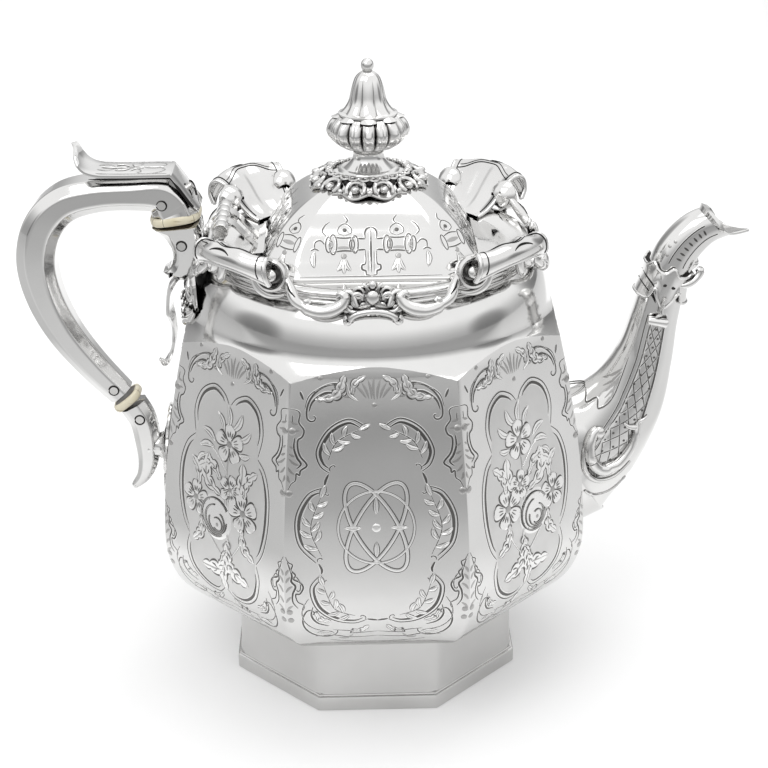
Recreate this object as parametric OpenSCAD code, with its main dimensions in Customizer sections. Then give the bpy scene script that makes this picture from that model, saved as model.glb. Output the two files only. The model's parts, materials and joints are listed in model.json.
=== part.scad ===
// Silver teapot: octagonal panelled body, scroll rim, hinged lid, insulated scroll handle and S spout.
// Units are millimetres.  +Z is up, the spout points along +X, the handle along -X.
// The origin is the centre of the foot's underside.

/* [Body] */
// Half of the body's width across two opposite panels, at its widest
body_half = 76.2; // [74:0.2:78]
// Height at which the body is widest
body_wide_z = 62; // [58:1:66]
// Half width of the body across two panels, where the panels end under the shoulder
body_top_half = 65.4; // [64.6:0.2:66.4]
// Height at which the panels meet the shoulder
panel_top_z = 139; // [136:0.5:141]
// Height of the body's flat bottom
bottom_z = 31; // [28:0.5:33]
// Half width of the body's flat bottom
bottom_half = 51.5; // [50:0.5:53]
// Thickness of the raised silver sheet
sheet = 1; // [0.8:0.1:1.4]

/* [Foot] */
// Half of the foot's width across two opposite sides
foot_half = 52.7; // [50:0.1:56]
// Height of the thick band at the bottom of the foot
foot_band_h = 6.6; // [5:0.2:9]

/* [Rim and lid] */
// Radius of the mouth under the lid
mouth_r = 36.5; // [34:0.5:37]
// Height of the shoulder's top, where the rim sits
shoulder_z = 160.5; // [158:0.5:162]
// Half width of the lid across its broad faces
lid_half = 38; // [37:0.5:39]
// Height of the lid's lower edge
lid_z = 163; // [162.6:0.2:164]
// Height of the hinge axis
hinge_z = 172.7; // [171:0.1:174]
// Distance of the hinge axis from the pot's axis
hinge_x = 52; // [50:0.5:54]
// Whole length of the hinge barrel
hinge_len = 30; // [25:1:34]

/* [Handle] */
// Thickness of the two insulating discs
disc_t = 3; // [2:0.5:4]
// Radius of the four handle pins
pin_r = 1.5; // [1:0.1:2]

/* [Hidden] */
$fn = 48;

silver = [0.86, 0.86, 0.85];
grey_silver = [0.70, 0.70, 0.71];
ivory = [0.90, 0.86, 0.72];

octagon_corner = 1 / cos(22.5);
gap = 0.02;

// ---------- functions ----------

// Points of a cubic Bezier curve
function bezier(a, b, c, d, n) =
    [for (i = [0:n]) let (t = i / n, s = 1 - t) s*s*s*a + 3*s*s*t*b + 3*s*t*t*c + t*t*t*d];

// Half width of the body's panels at height z: an ellipse below the widest line, a soft taper above it
function panel_half(z) = z < body_wide_z
    ? bottom_half + (body_half - bottom_half)
        * sqrt(1 - pow((body_wide_z - z) / (body_wide_z - bottom_z), 2))
    : body_half - (body_half - body_top_half)
        * pow((z - body_wide_z) / (panel_top_z - body_wide_z), 1.66);

// Catmull-Rom point at u (0 to 1) along a list of control points
function spline_point(p, u) =
    let (n = len(p) - 1, s = min(max(u, 0), 0.99999) * n, i = floor(s), t = s - i,
         a = p[max(i - 1, 0)], b = p[i], c = p[i + 1], d = p[min(i + 2, n)])
    0.5 * (2*b + (c - a)*t + (2*a - 5*b + 4*c - d)*t*t + (3*b - 3*c + d - a)*t*t*t);

// Direction of the same curve in the XZ plane, as an angle from +X towards +Z
function spline_angle(p, u) =
    let (q = spline_point(p, min(u + 0.004, 1)) - spline_point(p, max(u - 0.004, 0)))
    atan2(q[1], q[0]);

// A point of a ring round the curve: v is along the outward normal, y is sideways
function ring_point(p, u, v, y) =
    let (c = spline_point(p, u), a = spline_angle(p, u))
    [c[0] - v * sin(a), y, c[1] + v * cos(a)];

// One octagonal section: half height h, half depth w, corner cut c, as [v, y] pairs
function cut_section(h, w, c) = [[h, w-c], [h, c-w], [h-c, -w], [c-h, -w],
    [-h, c-w], [-h, w-c], [c-h, w], [h-c, w]];

// ---------- general modules ----------

// Solid lofted through equal rings of points, which run counterclockwise about the way from the
// first ring to the last; both end rings are capped
module loft(rings) {
    n = len(rings);
    m = len(rings[0]);
    points = [for (r = rings) for (q = r) q];
    sides = [for (i = [0:n-2]) for (j = [0:m-1])
        let (a = i*m + j, b = i*m + (j+1) % m)
        each [[a, b + m, b], [a, a + m, b + m]]];
    caps = [[for (j = [0:m-1]) j], [for (j = [m-1:-1:0]) (n-1)*m + j]];
    polyhedron(points, concat(sides, caps));
}

// Closed tube wall: outer rings, then the inner rings back, joined end to end
module tube_wall(outer, inner) {
    n = len(outer);
    m = len(outer[0]);
    rings = concat(outer, [for (i = [n-1:-1:0]) inner[i]]);
    k = 2 * n;
    points = [for (r = rings) for (q = r) q];
    faces = [for (i = [0:k-1]) for (j = [0:m-1])
        let (a = i*m + j, b = i*m + (j+1) % m, c = ((i+1) % k)*m + j, d = ((i+1) % k)*m + (j+1) % m)
        each [[a, d, b], [a, c, d]]];
    polyhedron(points, faces);
}

// Octagonal solid whose half width across flats follows a profile of [half, z] points
module octagon_solid(profile) {
    reach = 2 * body_half;
    mirrored = [for (i = [len(profile)-1:-1:0]) [-profile[i][0], profile[i][1]]];
    intersection_for (k = [0:3])
        rotate([90, 0, 45 * k]) linear_extrude(2 * reach, center = true)
            polygon(concat(profile, mirrored));
}

// Straight octagonal prism
module octagon_prism(half, h) {
    rotate(22.5) cylinder(r = half * octagon_corner, h = h, $fn = 8);
}

// Round rod along a 3D list of points, with a radius at each point
module rod(points, radii, sides = 8) {
    n = len(points) - 1;
    rings = [for (i = [0:n])
        let (d = points[min(i+1, n)] - points[max(i-1, 0)], t = d / norm(d),
             s0 = cross(abs(t[2]) > 0.9 ? [1, 0, 0] : [0, 0, 1], t), s = s0 / norm(s0),
             u = cross(t, s))
        [for (j = [0:sides-1]) points[i] + radii[i] * (cos(j*360/sides) * s + sin(j*360/sides) * u)]];
    loft(rings);
}

// Repeats its children at the four corners, mirrored across each corner's own diagonal
module each_corner() {
    for (mx = [0, 1]) for (my = [0, 1])
        mirror([mx, 0, 0]) mirror([0, my, 0]) children();
}

// ---------- foot ----------
foot_wall_half = 51.7;
foot_wall_t = 1.1;

module foot_band() {
    color(silver) difference() {
        union() {
            octagon_prism(foot_half, foot_band_h - 0.6);
            translate([0, 0, foot_band_h - 0.6 - gap]) octagon_prism(foot_half - 0.5, 0.6 + gap);
        }
        translate([0, 0, -1]) octagon_prism(foot_wall_half - 2.2, foot_band_h + 2);
    }
}

module foot_wall() {
    h = bottom_z - foot_band_h;
    color(silver) translate([0, 0, foot_band_h]) difference() {
        intersection() {
            octagon_prism(foot_wall_half, h);
            cylinder(r = foot_wall_half * 1.055, h = h, $fn = 96);
        }
        translate([0, 0, -1]) intersection() {
            octagon_prism(foot_wall_half - foot_wall_t, h + 2);
            cylinder(r = foot_wall_half * 1.055 - foot_wall_t, h = h + 2, $fn = 96);
        }
    }
}

// ---------- body ----------
shoulder_r = 56;
cove_z = 145;
spout_z = 78;

// Panel outline from the bottom to above the shoulder line, moved in by the sheet
function body_profile(inset) =
    [for (z = [bottom_z, 31.5, 33, 35.5, 39, 43, 48, 54, 62, 72, 82, 92, 102, 112, 122, 132, panel_top_z])
        [panel_half(z) - inset, z == bottom_z ? z + inset : z + inset * (z < 50 ? 0.6 : 0)]];

// Round shoulder: a soft quarter turn, a nearly upright band and a flare over the panel corners
function shoulder_profile(inset) = concat(
    [[0, bottom_z - 5], [body_half * 1.12, bottom_z - 5], [body_half * 1.12, 132]],
    [for (q = bezier([76, 133.6], [68.5, 138.5], [65, 140.5], [64.2, cove_z], 6)) [q[0] - inset, q[1]]],
    [for (q = bezier([64.2, cove_z], [63.5, 150], [62, 157.5], [shoulder_r, shoulder_z], 8))
        [q[0] - inset, q[1] - inset * (q[1] - cove_z) / (shoulder_z - cove_z)]],
    [[0, shoulder_z - inset]]);

module body_solid(inset) {
    intersection() {
        octagon_tower(inset);
        rotate_extrude($fn = 96) polygon(shoulder_profile(inset));
    }
}

// The octagonal body carried straight up past the shoulder
module octagon_tower(inset) {
    p = body_profile(inset);
    octagon_solid(concat(p, [[body_top_half - inset, shoulder_z + 5]]));
}

module body_shell() {
    color(silver) difference() {
        body_solid(0);
        body_solid(sheet);
        translate([0, 0, shoulder_z - 5]) cylinder(r = mouth_r + 1, h = 10);
        strainer();
    }
}

// Round holes through the panel behind the spout
module strainer() {
    for (row = [-2:2]) for (col = [-2:2])
        if (abs(row) + abs(col) < 4)
            translate([60, 5 * col, spout_z + 5.4 * row]) rotate([0, 90, 0])
                cylinder(d = 3, h = 30, $fn = 24);
}

// ---------- rim ----------
seat_z = lid_z - 0.4;
rim_r = 58;

module mouth_bezel() {
    color(silver) rotate_extrude($fn = 96) polygon([[mouth_r, shoulder_z], [mouth_r, seat_z],
        [47.6, seat_z], [51.5, seat_z + 0.6], [56.4, 164.9], [rim_r, 164.9], [rim_r, 163.6],
        [57.2, 161.6], [shoulder_r, shoulder_z]]);
}

// Crest of the corner shell: s runs from -1 to 1 across the corner
function shell_angle(s) = 45 + 14 * s;
function shell_top_r(s) = 69 - 5 * pow(abs(s), 2.5);
function shell_top_z(s) = 178.6 - 6.6 * pow(abs(s), 2.5);
function shell_point(s, t, out) =
    let (a = shell_angle(s), r = 50 + (shell_top_r(s) - 50) * pow(t, 1.15) + out,
         z = seat_z + 0.8 + (shell_top_z(s) - seat_z - 0.8) * pow(t, 1.3) - 0.25 * out)
    [r * cos(a), r * sin(a), z];

// Fluted corner shells that stand up round the lid and carry the volutes
module rim_shells() {
    steps = 14;
    rows = 6;
    color(silver) each_corner() loft([for (i = [0:steps]) let (s = 2 * i / steps - 1)
        concat([for (k = [0:rows]) shell_point(s, k / rows, -0.5 * pow(cos(i * 360 / 3.5), 2))],
               [for (k = [rows:-1:0]) shell_point(s, k / rows, 1.3)])]);
}

// Scroll rods that sweep from each volute down to the cartouches
eye = [33, 53, 170];
rod_end = [13, 58.2, 164.6];

module scroll_rod() {
    path = bezier(eye + [-3.5, 1, -3], [25, 56, 163], [20, 58, 162.5], rod_end, 9);
    rod(path, [2.1, 2, 1.9, 1.8, 1.7, 1.6, 1.4, 1.9, 1.9, 1]);
}

module rim_scrolls() {
    color(silver) each_corner() {
        scroll_rod();
        mirror([1, -1, 0]) scroll_rod();
    }
}

// One volute: a rolled cup with a round boss in its eye, opening along +Y
module volute() {
    translate(eye) rotate([-78, 0, -14]) rotate_extrude($fn = 40) polygon(concat(
        [[0, -5], [3.4, -5]],
        bezier([3.4, -5], [5.6, -4], [5.4, 0], [5.1, 1.5], 5),
        [[4.1, 1.5], [3.3, -1.5], [2.4, -2.2]],
        bezier([2.4, -2.2], [2.4, 0.2], [1.4, 1.2], [0, 1.2], 5)));
}

module rim_volutes() {
    color(silver) each_corner() {
        volute();
        mirror([1, -1, 0]) volute();
    }
}

// Pierced cast cartouche at the middle of each side, with a boss and a small C scroll under it
module cartouche() {
    translate([0, rim_r, 160.6]) rotate([82, 0, 0]) linear_extrude(2.4, center = true) difference() {
        hull() {
            translate([-9.5, -1.5]) square([19, 4.5]);
            translate([-5, -2.5]) square([10, 8]);
        }
        for (x = [-4.6, 4.6]) translate([x, 2.6]) circle(d = 1.9, $fn = 16);
    }
    translate([0, rim_r + 1, 163.4]) sphere(r = 2.4, $fn = 32);
    path = bezier([-7.5, 60.5, 156.8], [-6, 61.5, 160.6], [6, 61.5, 160.6], [7.5, 60.5, 156.8], 8);
    rod(path, [for (i = [0:8]) 0.9 + 0.5 * pow(i / 4 - 1, 2)]);
}

module rim_cartouches() {
    color(silver) for (a = [0, 90, 180]) rotate(a - 180) cartouche();
}

// ---------- hinge ----------
knuckle_r = 2.8;
hinge_pin_r = 1.1;
knuckle_len = (hinge_len - 4 * 0.3) / 5;
knuckle_pitch = knuckle_len + 0.3;

module at_hinge() {
    translate([-hinge_x, 0, hinge_z]) children();
}

module knuckle(i, bore) {
    translate([0, (i - 2) * knuckle_pitch + knuckle_len / 2, 0]) rotate([90, 0, 0]) difference() {
        cylinder(r = knuckle_r, h = knuckle_len);
        translate([0, 0, -1]) cylinder(r = bore, h = knuckle_len + 2);
    }
}

// Outer and middle knuckles with the leaf soldered to the rim
module hinge_body_knuckles() {
    color(silver) at_hinge() difference() {
        for (i = [0, 2, 4]) {
            knuckle(i, hinge_pin_r + 0.01);
            translate([-knuckle_r, (i - 2) * knuckle_pitch - knuckle_len / 2, seat_z + 2.3 - hinge_z])
                cube([2, knuckle_len, hinge_z - seat_z - 2.3]);
        }
        rotate([90, 0, 0]) cylinder(r = hinge_pin_r + 0.01, h = 60, center = true);
    }
    color(silver) translate([-hinge_x - 5.4, -hinge_len / 2, seat_z + 2.3]) cube([6, hinge_len, 1]);
}

// Knuckles two and four with the leaf soldered to the lid
module hinge_lid_knuckles() {
    leaf_x = hinge_x - lid_half - 1.6;
    color(silver) at_hinge() difference() {
        for (i = [1, 3]) {
            knuckle(i, hinge_pin_r + 0.05);
            translate([0, (i - 2) * knuckle_pitch - knuckle_len / 2, 0]) leaf_arm(knuckle_len, leaf_x);
        }
        rotate([90, 0, 0]) cylinder(r = hinge_pin_r + 0.05, h = 60, center = true);
    }
    color(silver) at_hinge() translate([leaf_x - 5.5, -hinge_len / 2 + 1, lid_z + 0.2 - hinge_z])
        cube([5.5, hinge_len - 2, 1]);
}

// Sloping arm from the barrel down to the lid's edge
module leaf_arm(width, reach) {
    rotate([90, 0, 0]) translate([0, 0, -width]) linear_extrude(width)
        polygon([[0, 1.6], [2.4, 1.4], [reach, lid_z + 1.2 - hinge_z], [reach, lid_z + 0.2 - hinge_z],
            [reach - 5.5, lid_z + 0.2 - hinge_z], [2.4, -1.4], [0, -1.6]]);
}

module hinge_pin() {
    color(grey_silver) at_hinge() rotate([90, 0, 0]) {
        cylinder(r = hinge_pin_r, h = hinge_len + 0.6, center = true);
        for (s = [-1, 1]) translate([0, 0, s * (hinge_len / 2 + 0.55)])
            cylinder(r = hinge_pin_r + 0.5, h = 0.5, center = true);
    }
}

// ---------- lid ----------
// Half widths of the dome across its broad faces and across its cut corners, rising from the edge
lid_corner = 45.2;
dome_rows = [[lid_half, lid_corner, lid_z], [36.6, 44, lid_z + 2], [33.8, 41.6, lid_z + 6.6],
    [30.4, 37.2, lid_z + 12.8], [24.4, 30.2, lid_z + 18.7], [17.5, 22, lid_z + 22.8],
    [9, 11.6, lid_z + 25.4]];

function dome_outline(col, inset) = [for (r = dome_rows) [r[col] - inset, r[2] - (r[2] > lid_z + 10 ? inset : 0)]];

module dome_strip(p, turn) {
    mirrored = [for (i = [len(p)-1:-1:0]) [-p[i][0], p[i][1]]];
    rotate([90, 0, turn]) linear_extrude(140, center = true) polygon(concat(p, mirrored));
}

module dome_solid(inset) {
    intersection() {
        dome_strip(dome_outline(0, inset), 0);
        dome_strip(dome_outline(0, inset), 90);
        dome_strip(dome_outline(1, inset), 45);
        dome_strip(dome_outline(1, inset), 135);
    }
}

module lid_dome() {
    color(silver) difference() {
        dome_solid(0);
        difference() {
            dome_solid(0.9);
            translate([-60, -60, lid_z - 1]) cube([120, 120, 1]);
        }
        translate([0, 0, lid_z]) cylinder(r = 1.62, h = 40);
    }
}

// Square plan with cut corners
module lid_plan(half, corner, h) {
    intersection() {
        translate([-half, -half, 0]) cube([2 * half, 2 * half, h]);
        rotate(45) translate([-corner, -corner, 0]) cube([2 * corner, 2 * corner, h]);
    }
}

// Flat ring under the dome: it rests on the bezel and its lip drops into the mouth
module lid_seat_ring() {
    color(silver) difference() {
        union() {
            translate([0, 0, seat_z]) lid_plan(lid_half + 0.8, lid_corner + 0.8, lid_z - seat_z);
            translate([0, 0, lid_z - 3.4]) cylinder(r = mouth_r - 0.7, h = 3.4, $fn = 96);
        }
        translate([0, 0, lid_z - 5]) cylinder(r = mouth_r - 1.7, h = 10, $fn = 96);
    }
}

// ---------- finial ----------
gallery_z = lid_z + 22.6;

// Pierced cast collar round the finial, with scrolls and bosses
module lid_gallery() {
    color(silver) difference() {
        union() {
            translate([0, 0, gallery_z]) rotate_extrude($fn = 64) polygon([[19.4, 0], [20.8, 0.5],
                [20.3, 2], [15.5, 3.8], [9.5, 4.7], [9.5, 3.5], [15, 2.6], [18.8, 1]]);
            for (i = [0:7]) rotate(45 * i + 22.5) translate([19.4, 0, gallery_z + 0.9])
                sphere(r = 1.9, $fn = 24);
        }
        for (i = [0:15]) rotate(22.5 * i) translate([16.6, 0, gallery_z - 6]) cylinder(r = 1.3, h = 20, $fn = 20);
        dome_solid(-0.05);
    }
}

module finial_base() {
    color(silver) difference() {
        translate([0, 0, lid_z + 25.4]) rotate_extrude($fn = 64) polygon(concat([[0, 0], [10.4, 0], [10.4, 0.9]],
            bezier([10.4, 0.9], [8.6, 2.8], [5.4, 3.4], [5.4, 6], 6), [[6.4, 6.6], [6.4, 8], [0, 8]]));
        cylinder(r = 1.52, h = 400, $fn = 24);
    }
}

melon_z = lid_z + 33.4;

// Sixteen lobes round a low melon
module finial_melon() {
    color(silver) translate([0, 0, melon_z]) difference() {
        union() {
            rotate_extrude($fn = 64) polygon(concat([[0, 0], [6.5, 0]],
                bezier([6.5, 0], [13.5, 2.4], [16.2, 7.5], [12.6, 12.6], 9), [[10, 13.6], [0, 13.6]]));
            for (i = [0:7]) rotate(45 * i) translate([10.4, 0, 7.6]) sphere(r = 4.7, $fn = 32);
        }
        translate([0, 0, -1]) cylinder(r = 1.52, h = 30, $fn = 24);
    }
}

bell_z = melon_z + 13.6;

module finial_bell() {
    color(silver) difference() {
        translate([0, 0, bell_z]) union() {
            rotate_extrude($fn = 64) polygon(concat([[0, 0], [9.6, 0]],
                bezier([9.6, 0], [6, 3.4], [6, 8.5], [4.6, 12.4], 8), [[3.4, 14.2], [1.4, 14.6], [0, 14.6]]));
            for (i = [0:7]) rotate(45 * i) translate([8.6, 0, 0])
                cylinder(r1 = 3.9, r2 = 1.2, h = 2.4, $fn = 24);
        }
        translate([0, 0, bell_z - 1]) cylinder(r = 1.02, h = 14, $fn = 24);
    }
}

module finial_ball() {
    color(silver) translate([0, 0, bell_z + 14.6 + 2.1]) difference() {
        sphere(r = 2.2, $fn = 40);
        translate([-5, -5, -7.1]) cube([10, 10, 5]);
    }
}

// Threaded stud that holds the finial to the dome
module finial_stud() {
    color(grey_silver) {
        translate([0, 0, lid_z + 20]) cylinder(r = 1.5, h = melon_z + 13.6 - lid_z - 20, $fn = 24);
        translate([0, 0, melon_z + 13.6 - gap]) cylinder(r = 1, h = 10, $fn = 24);
    }
}

module finial_nut() {
    color(grey_silver) translate([0, 0, lid_z + 21.6]) difference() {
        cylinder(r = 3.6, h = 2.6, $fn = 6);
        translate([0, 0, -1]) cylinder(r = 1.5, h = 5, $fn = 24);
    }
}

// ---------- spout ----------
// Centre line of the spout in X and Z, from the body's panel to the lip
spout_path = [[73, 80.2], [84.4, 87.6], [94.5, 101], [100.5, 117], [103.5, 132], [106.5, 146],
    [110.5, 157.5], [118, 166], [127, 169], [136, 168.4]];
// Half height and half depth of the section at the same places
spout_size = [[28.4, 17], [20.4, 14], [15, 11], [10.8, 9], [8.8, 8], [8, 7.6],
    [7.5, 7.2], [6.8, 6.8], [5.4, 6.4], [3.6, 6]];
spout_sides = 12;
spout_rings = 24;
hood_u = 0.80;

// The lip runs on under the mouth while the hood over it stops short
function spout_end(a) = let (s = (1 + cos(a)) / 2) 1 - (1 - hood_u) * pow(s, 0.6);

// Rings start inside the body, where the panel trims them
spout_start_x = 60;
function spout_ring(k, inset) = [for (j = [0:spout_sides-1])
    let (a = j * 360 / spout_sides, u = k / spout_rings * spout_end(a), s = spline_point(spout_size, u),
         p = ring_point(spout_path, u, (s[0] - inset) * cos(a), (inset - s[1]) * sin(a)))
    [k == 0 ? spout_start_x - inset : max(p[0], spout_start_x + k), p[1], p[2]]];

module spout_tube() {
    inner = [for (k = [0:spout_rings]) spout_ring(k, sheet)];
    past_lip = [for (q = inner[spout_rings]) q + [8, 0, 0]];
    color(silver) difference() {
        loft([for (k = [0:spout_rings]) spout_ring(k, 0)]);
        loft(concat(inner, [past_lip]));
        body_solid(-gap);
    }
}

// Cast strap round the middle of the spout, with scroll ears
module spout_collar() {
    color(silver) {
        translate([105.2, 0, 141]) rotate([0, 12, 0]) difference() {
            intersection() {
                cube([18.4, 18, 9], center = true);
                cylinder(r = 11, h = 12, center = true);
            }
            cube([16.2, 15.4, 30], center = true);
        }
        for (s = [-1, 1]) translate([103.2, s * 9.4, 136.5]) rotate([0, 102, 0])
            cylinder(r = 2.1, h = 9, center = true, $fn = 24);
        for (s = [-1, 1]) translate([117.4, s * 5.2, 150.6]) rotate([90, 0, 0])
            cylinder(r = 2.2, h = 3.4, center = true, $fn = 24);
    }
}

// C scrolls that frame the foot of the spout against the body
module spout_base_scrolls() {
    color(silver) for (s = [-1, 1]) {
        path = bezier([82.5, s * 14.5, 101], [76, s * 19, 92], [76, s * 20, 66], [90, s * 15.2, 71], 10);
        rod(path, [for (i = [0:10]) 2.2 - 0.8 * sin(i * 18)]);
    }
}

// ---------- handle ----------
// Centre line of the grip in X and Z, from the upper disc round to the lower disc
grip_path = [[-68.6, 178.2], [-72.6, 183.2], [-83, 183.8], [-96, 183.2], [-107.4, 180], [-115.4, 171.6],
    [-118.8, 159.4], [-117.2, 146], [-111.6, 132], [-102.6, 118.5], [-92.4, 106.4]];
grip_size = [[8.2, 8.6], [7, 8.8], [5.8, 9], [5.8, 9], [6.4, 8.8], [6.8, 8.4],
    [6.8, 8], [6.6, 7.4], [6.2, 6.6], [5.6, 5.8], [4.9, 5.2]];
grip_rings = 40;

function grip_ring(k, inset) = let (u = k / grip_rings, s = spline_point(grip_size, u))
    [for (q = cut_section(s[0] - inset, s[1] - inset, 2.8)) ring_point(grip_path, u, q[0], q[1])];

module handle_grip() {
    color(silver) difference() {
        tube_wall([for (k = [0:grip_rings]) grip_ring(k, 0)], [for (k = [0:grip_rings]) grip_ring(k, 1)]);
        handle_pin_hole(grip_pin_a);
        handle_pin_hole(grip_pin_b);
    }
}

grip_pin_a = [-72.4, 180.6];
grip_pin_b = [-94.6, 109.4];
socket_pin_a = [-66.4, 165.4];
socket_pin_b = [-86, 97.2];

module handle_pin_hole(at) {
    translate([at[0], 0, at[1]]) rotate([90, 0, 0]) cylinder(r = pin_r, h = 40, center = true, $fn = 32);
}

module handle_pin(at, half) {
    color(silver) translate([at[0], 0, at[1]]) rotate([90, 0, 0])
        cylinder(r = pin_r, h = 2 * half, center = true, $fn = 32);
}

module upper_grip_pin() { handle_pin(grip_pin_a, 9.3); }
module upper_socket_pin() { handle_pin(socket_pin_a, 8.4); }
module lower_grip_pin() { handle_pin(grip_pin_b, 5.8); }
module lower_socket_pin() { handle_pin(socket_pin_b, 5.2); }

// Flat strap on top of the grip, turned up into a leaf at the thumb and bent down at the corner
module handle_strap() {
    outline = concat(
        bezier([-68, 191.6], [-80, 191.6], [-92, 191.8], [-97, 192.4], 4),
        bezier([-97, 192.4], [-100, 193.4], [-102, 196], [-103.4, 200.8], 5),
        bezier([-104, 200.4], [-104.4, 194.6], [-102.6, 191.8], [-98, 190.6], 5),
        [[-92, 190.2], [-69, 190], [-60.6, 178.4], [-59.4, 179.4]]);
    color(silver) rotate([90, 0, 0]) linear_extrude(17, center = true) polygon(outline);
}

module strap_rivet() {
    color(silver) translate([-63.9, 0, 184.2]) rotate([0, 54, 0]) cylinder(r = 1.3, h = 4.4, center = true, $fn = 24);
}

// Insulating disc with a tenon on each side, square to the handle
module insulator(at, tilt, w, d, tenon_w, tenon_d, tenon_h) {
    color(ivory) translate([at[0], 0, at[1]]) rotate([0, tilt, 0]) {
        intersection() {
            cube([2 * w, 2 * d, disc_t], center = true);
            cylinder(r = sqrt(w * d) * 1.16, h = disc_t, center = true, $fn = 48);
        }
        cube([2 * tenon_w, 2 * tenon_d, 2 * tenon_h], center = true);
    }
}

upper_disc_at = [-68.4, 174.6];
lower_disc_at = [-90.4, 104];

module upper_insulator() {
    difference() {
        insulator(upper_disc_at, -8, 8.8, 9.2, 3.8, 5, 8);
        handle_pin_hole(grip_pin_a);
        handle_pin_hole(socket_pin_a);
    }
}

module lower_insulator() {
    difference() {
        insulator(lower_disc_at, -38, 5.6, 5.8, 2.4, 3, 8);
        handle_pin_hole(grip_pin_b);
        handle_pin_hole(socket_pin_b);
    }
}

// Upper socket: a tapering case under the disc, with a scroll tail
upper_socket_outline = concat([[-76.6, 171.6], [-59.8, 173.8]],
    bezier([-59.8, 173.8], [-58.6, 166], [-59, 158], [-63.6, 153], 6),
    bezier([-63.6, 153], [-66.6, 150.4], [-70, 150.8], [-73.8, 154.6], 5),
    bezier([-73.8, 154.6], [-70, 156], [-69.2, 160], [-70.2, 164], 5),
    [[-72.4, 168]]);

module upper_socket() {
    color(silver) difference() {
        rotate([90, 0, 0]) linear_extrude(16, center = true) polygon(upper_socket_outline);
        translate([upper_disc_at[0], 0, upper_disc_at[1]]) rotate([0, -8, 0])
            cube([7.7, 10.1, 16.2], center = true);
        handle_pin_hole(socket_pin_a);
    }
}

// Cast bracket between the socket and the body, with a leaf lying on the panel
module upper_mount() {
    color(silver) difference() {
        union() {
            rotate([90, 0, 0]) linear_extrude(11, center = true) polygon(concat(
                bezier([-59, 161], [-60, 152], [-60, 144], [-64, 138], 5),
                [[-60, 138], [-50, 150], [-50, 158]]));
            translate([-69.4, 0, 118]) rotate([0, 4.5, 0]) linear_extrude(36) square([4.4, 12], center = true);
            for (s = [-1, 1]) translate([-63.5, s * 8.5, 148]) rotate([0, 70, s * 20])
                cylinder(r = 4.6, h = 7, center = true, $fn = 32);
        }
        body_solid(-gap);
        rotate([90, 0, 0]) linear_extrude(16, center = true) polygon(upper_socket_outline);
        translate([0, 0, shoulder_z - gap]) cylinder(r = rim_r + 0.2, h = 20);
    }
}

// Centre line of the lower socket and its tail
tail_path = [[-88.6, 101.8], [-85.4, 95.4], [-84.2, 87], [-84.4, 79], [-86.6, 72.4], [-91, 67.4]];
tail_size = [[4.9, 5.2], [4.8, 5], [4.6, 4.6], [3.8, 4], [2.6, 3], [1.2, 1.6]];

module lower_socket() {
    color(silver) difference() {
        union() {
            loft([for (k = [0:16]) let (u = k / 16, s = spline_point(tail_size, u))
                [for (q = cut_section(s[0], s[1], s[0] * 0.36)) ring_point(tail_path, u, q[0], q[1])]]);
            translate([-78.4, 0, 84]) rotate([0, -90, 0]) cylinder(r1 = 6, r2 = 3.6, h = 5.5, $fn = 32);
        }
        translate([lower_disc_at[0], 0, lower_disc_at[1]]) rotate([0, -38, 0]) cube([4.9, 6.1, 16.2], center = true);
        handle_pin_hole(socket_pin_b);
    }
}

// Fretted plate soldered to the panel under the lower socket
module lower_plate() {
    color(silver) difference() {
        translate([-76.6, 0, 82.5]) rotate([0, 90, 0]) linear_extrude(3.6, center = true) difference() {
            union() {
                circle(d = 18, $fn = 48);
                for (s = [-1, 1]) translate([s * 10.5, 0]) circle(d = 13, $fn = 40);
                for (s = [-1, 1]) translate([s * 16, 0]) circle(d = 5, $fn = 24);
            }
            for (s = [-1, 1]) translate([s * 9.8, 0]) circle(d = 3, $fn = 24);
            for (s = [-1, 1]) translate([0, s * 6.6]) circle(d = 2, $fn = 24);
        }
        body_solid(-gap);
        translate([-79.4, 0, 84]) cube([2, 60, 60], center = true);
    }
}

// ---------- assembly ----------
foot_band();
foot_wall();
body_shell();
mouth_bezel();
rim_shells();
rim_scrolls();
rim_volutes();
rim_cartouches();
hinge_body_knuckles();
hinge_lid_knuckles();
hinge_pin();
lid_dome();
lid_seat_ring();
lid_gallery();
finial_base();
finial_melon();
finial_bell();
finial_ball();
finial_stud();
finial_nut();
spout_tube();
spout_collar();
spout_base_scrolls();
upper_mount();
upper_socket();
upper_insulator();
handle_grip();
handle_strap();
lower_insulator();
lower_socket();
lower_plate();
upper_grip_pin();
upper_socket_pin();
lower_grip_pin();
lower_socket_pin();
strap_rivet();
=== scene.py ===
import json
import math
import random

import bpy
import numpy as np
from mathutils import Matrix, Vector
from mathutils.geometry import delaunay_2d_cdt


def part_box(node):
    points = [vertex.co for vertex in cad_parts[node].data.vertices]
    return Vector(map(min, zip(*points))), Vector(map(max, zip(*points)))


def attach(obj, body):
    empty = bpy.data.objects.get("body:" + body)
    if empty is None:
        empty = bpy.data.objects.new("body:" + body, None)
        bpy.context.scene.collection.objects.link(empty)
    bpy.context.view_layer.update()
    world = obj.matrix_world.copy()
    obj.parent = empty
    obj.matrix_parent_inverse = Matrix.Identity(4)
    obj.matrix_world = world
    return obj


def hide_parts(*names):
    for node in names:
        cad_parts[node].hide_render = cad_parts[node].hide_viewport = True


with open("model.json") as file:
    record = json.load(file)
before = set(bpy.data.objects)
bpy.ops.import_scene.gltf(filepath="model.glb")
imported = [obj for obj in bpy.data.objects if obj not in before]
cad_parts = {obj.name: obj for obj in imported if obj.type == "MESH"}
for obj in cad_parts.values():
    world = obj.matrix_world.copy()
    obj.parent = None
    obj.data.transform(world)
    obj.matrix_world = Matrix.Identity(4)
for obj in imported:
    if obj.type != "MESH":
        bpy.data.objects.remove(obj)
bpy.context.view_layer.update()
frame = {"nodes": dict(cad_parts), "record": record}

MM = 0.001
random.seed(7)

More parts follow.
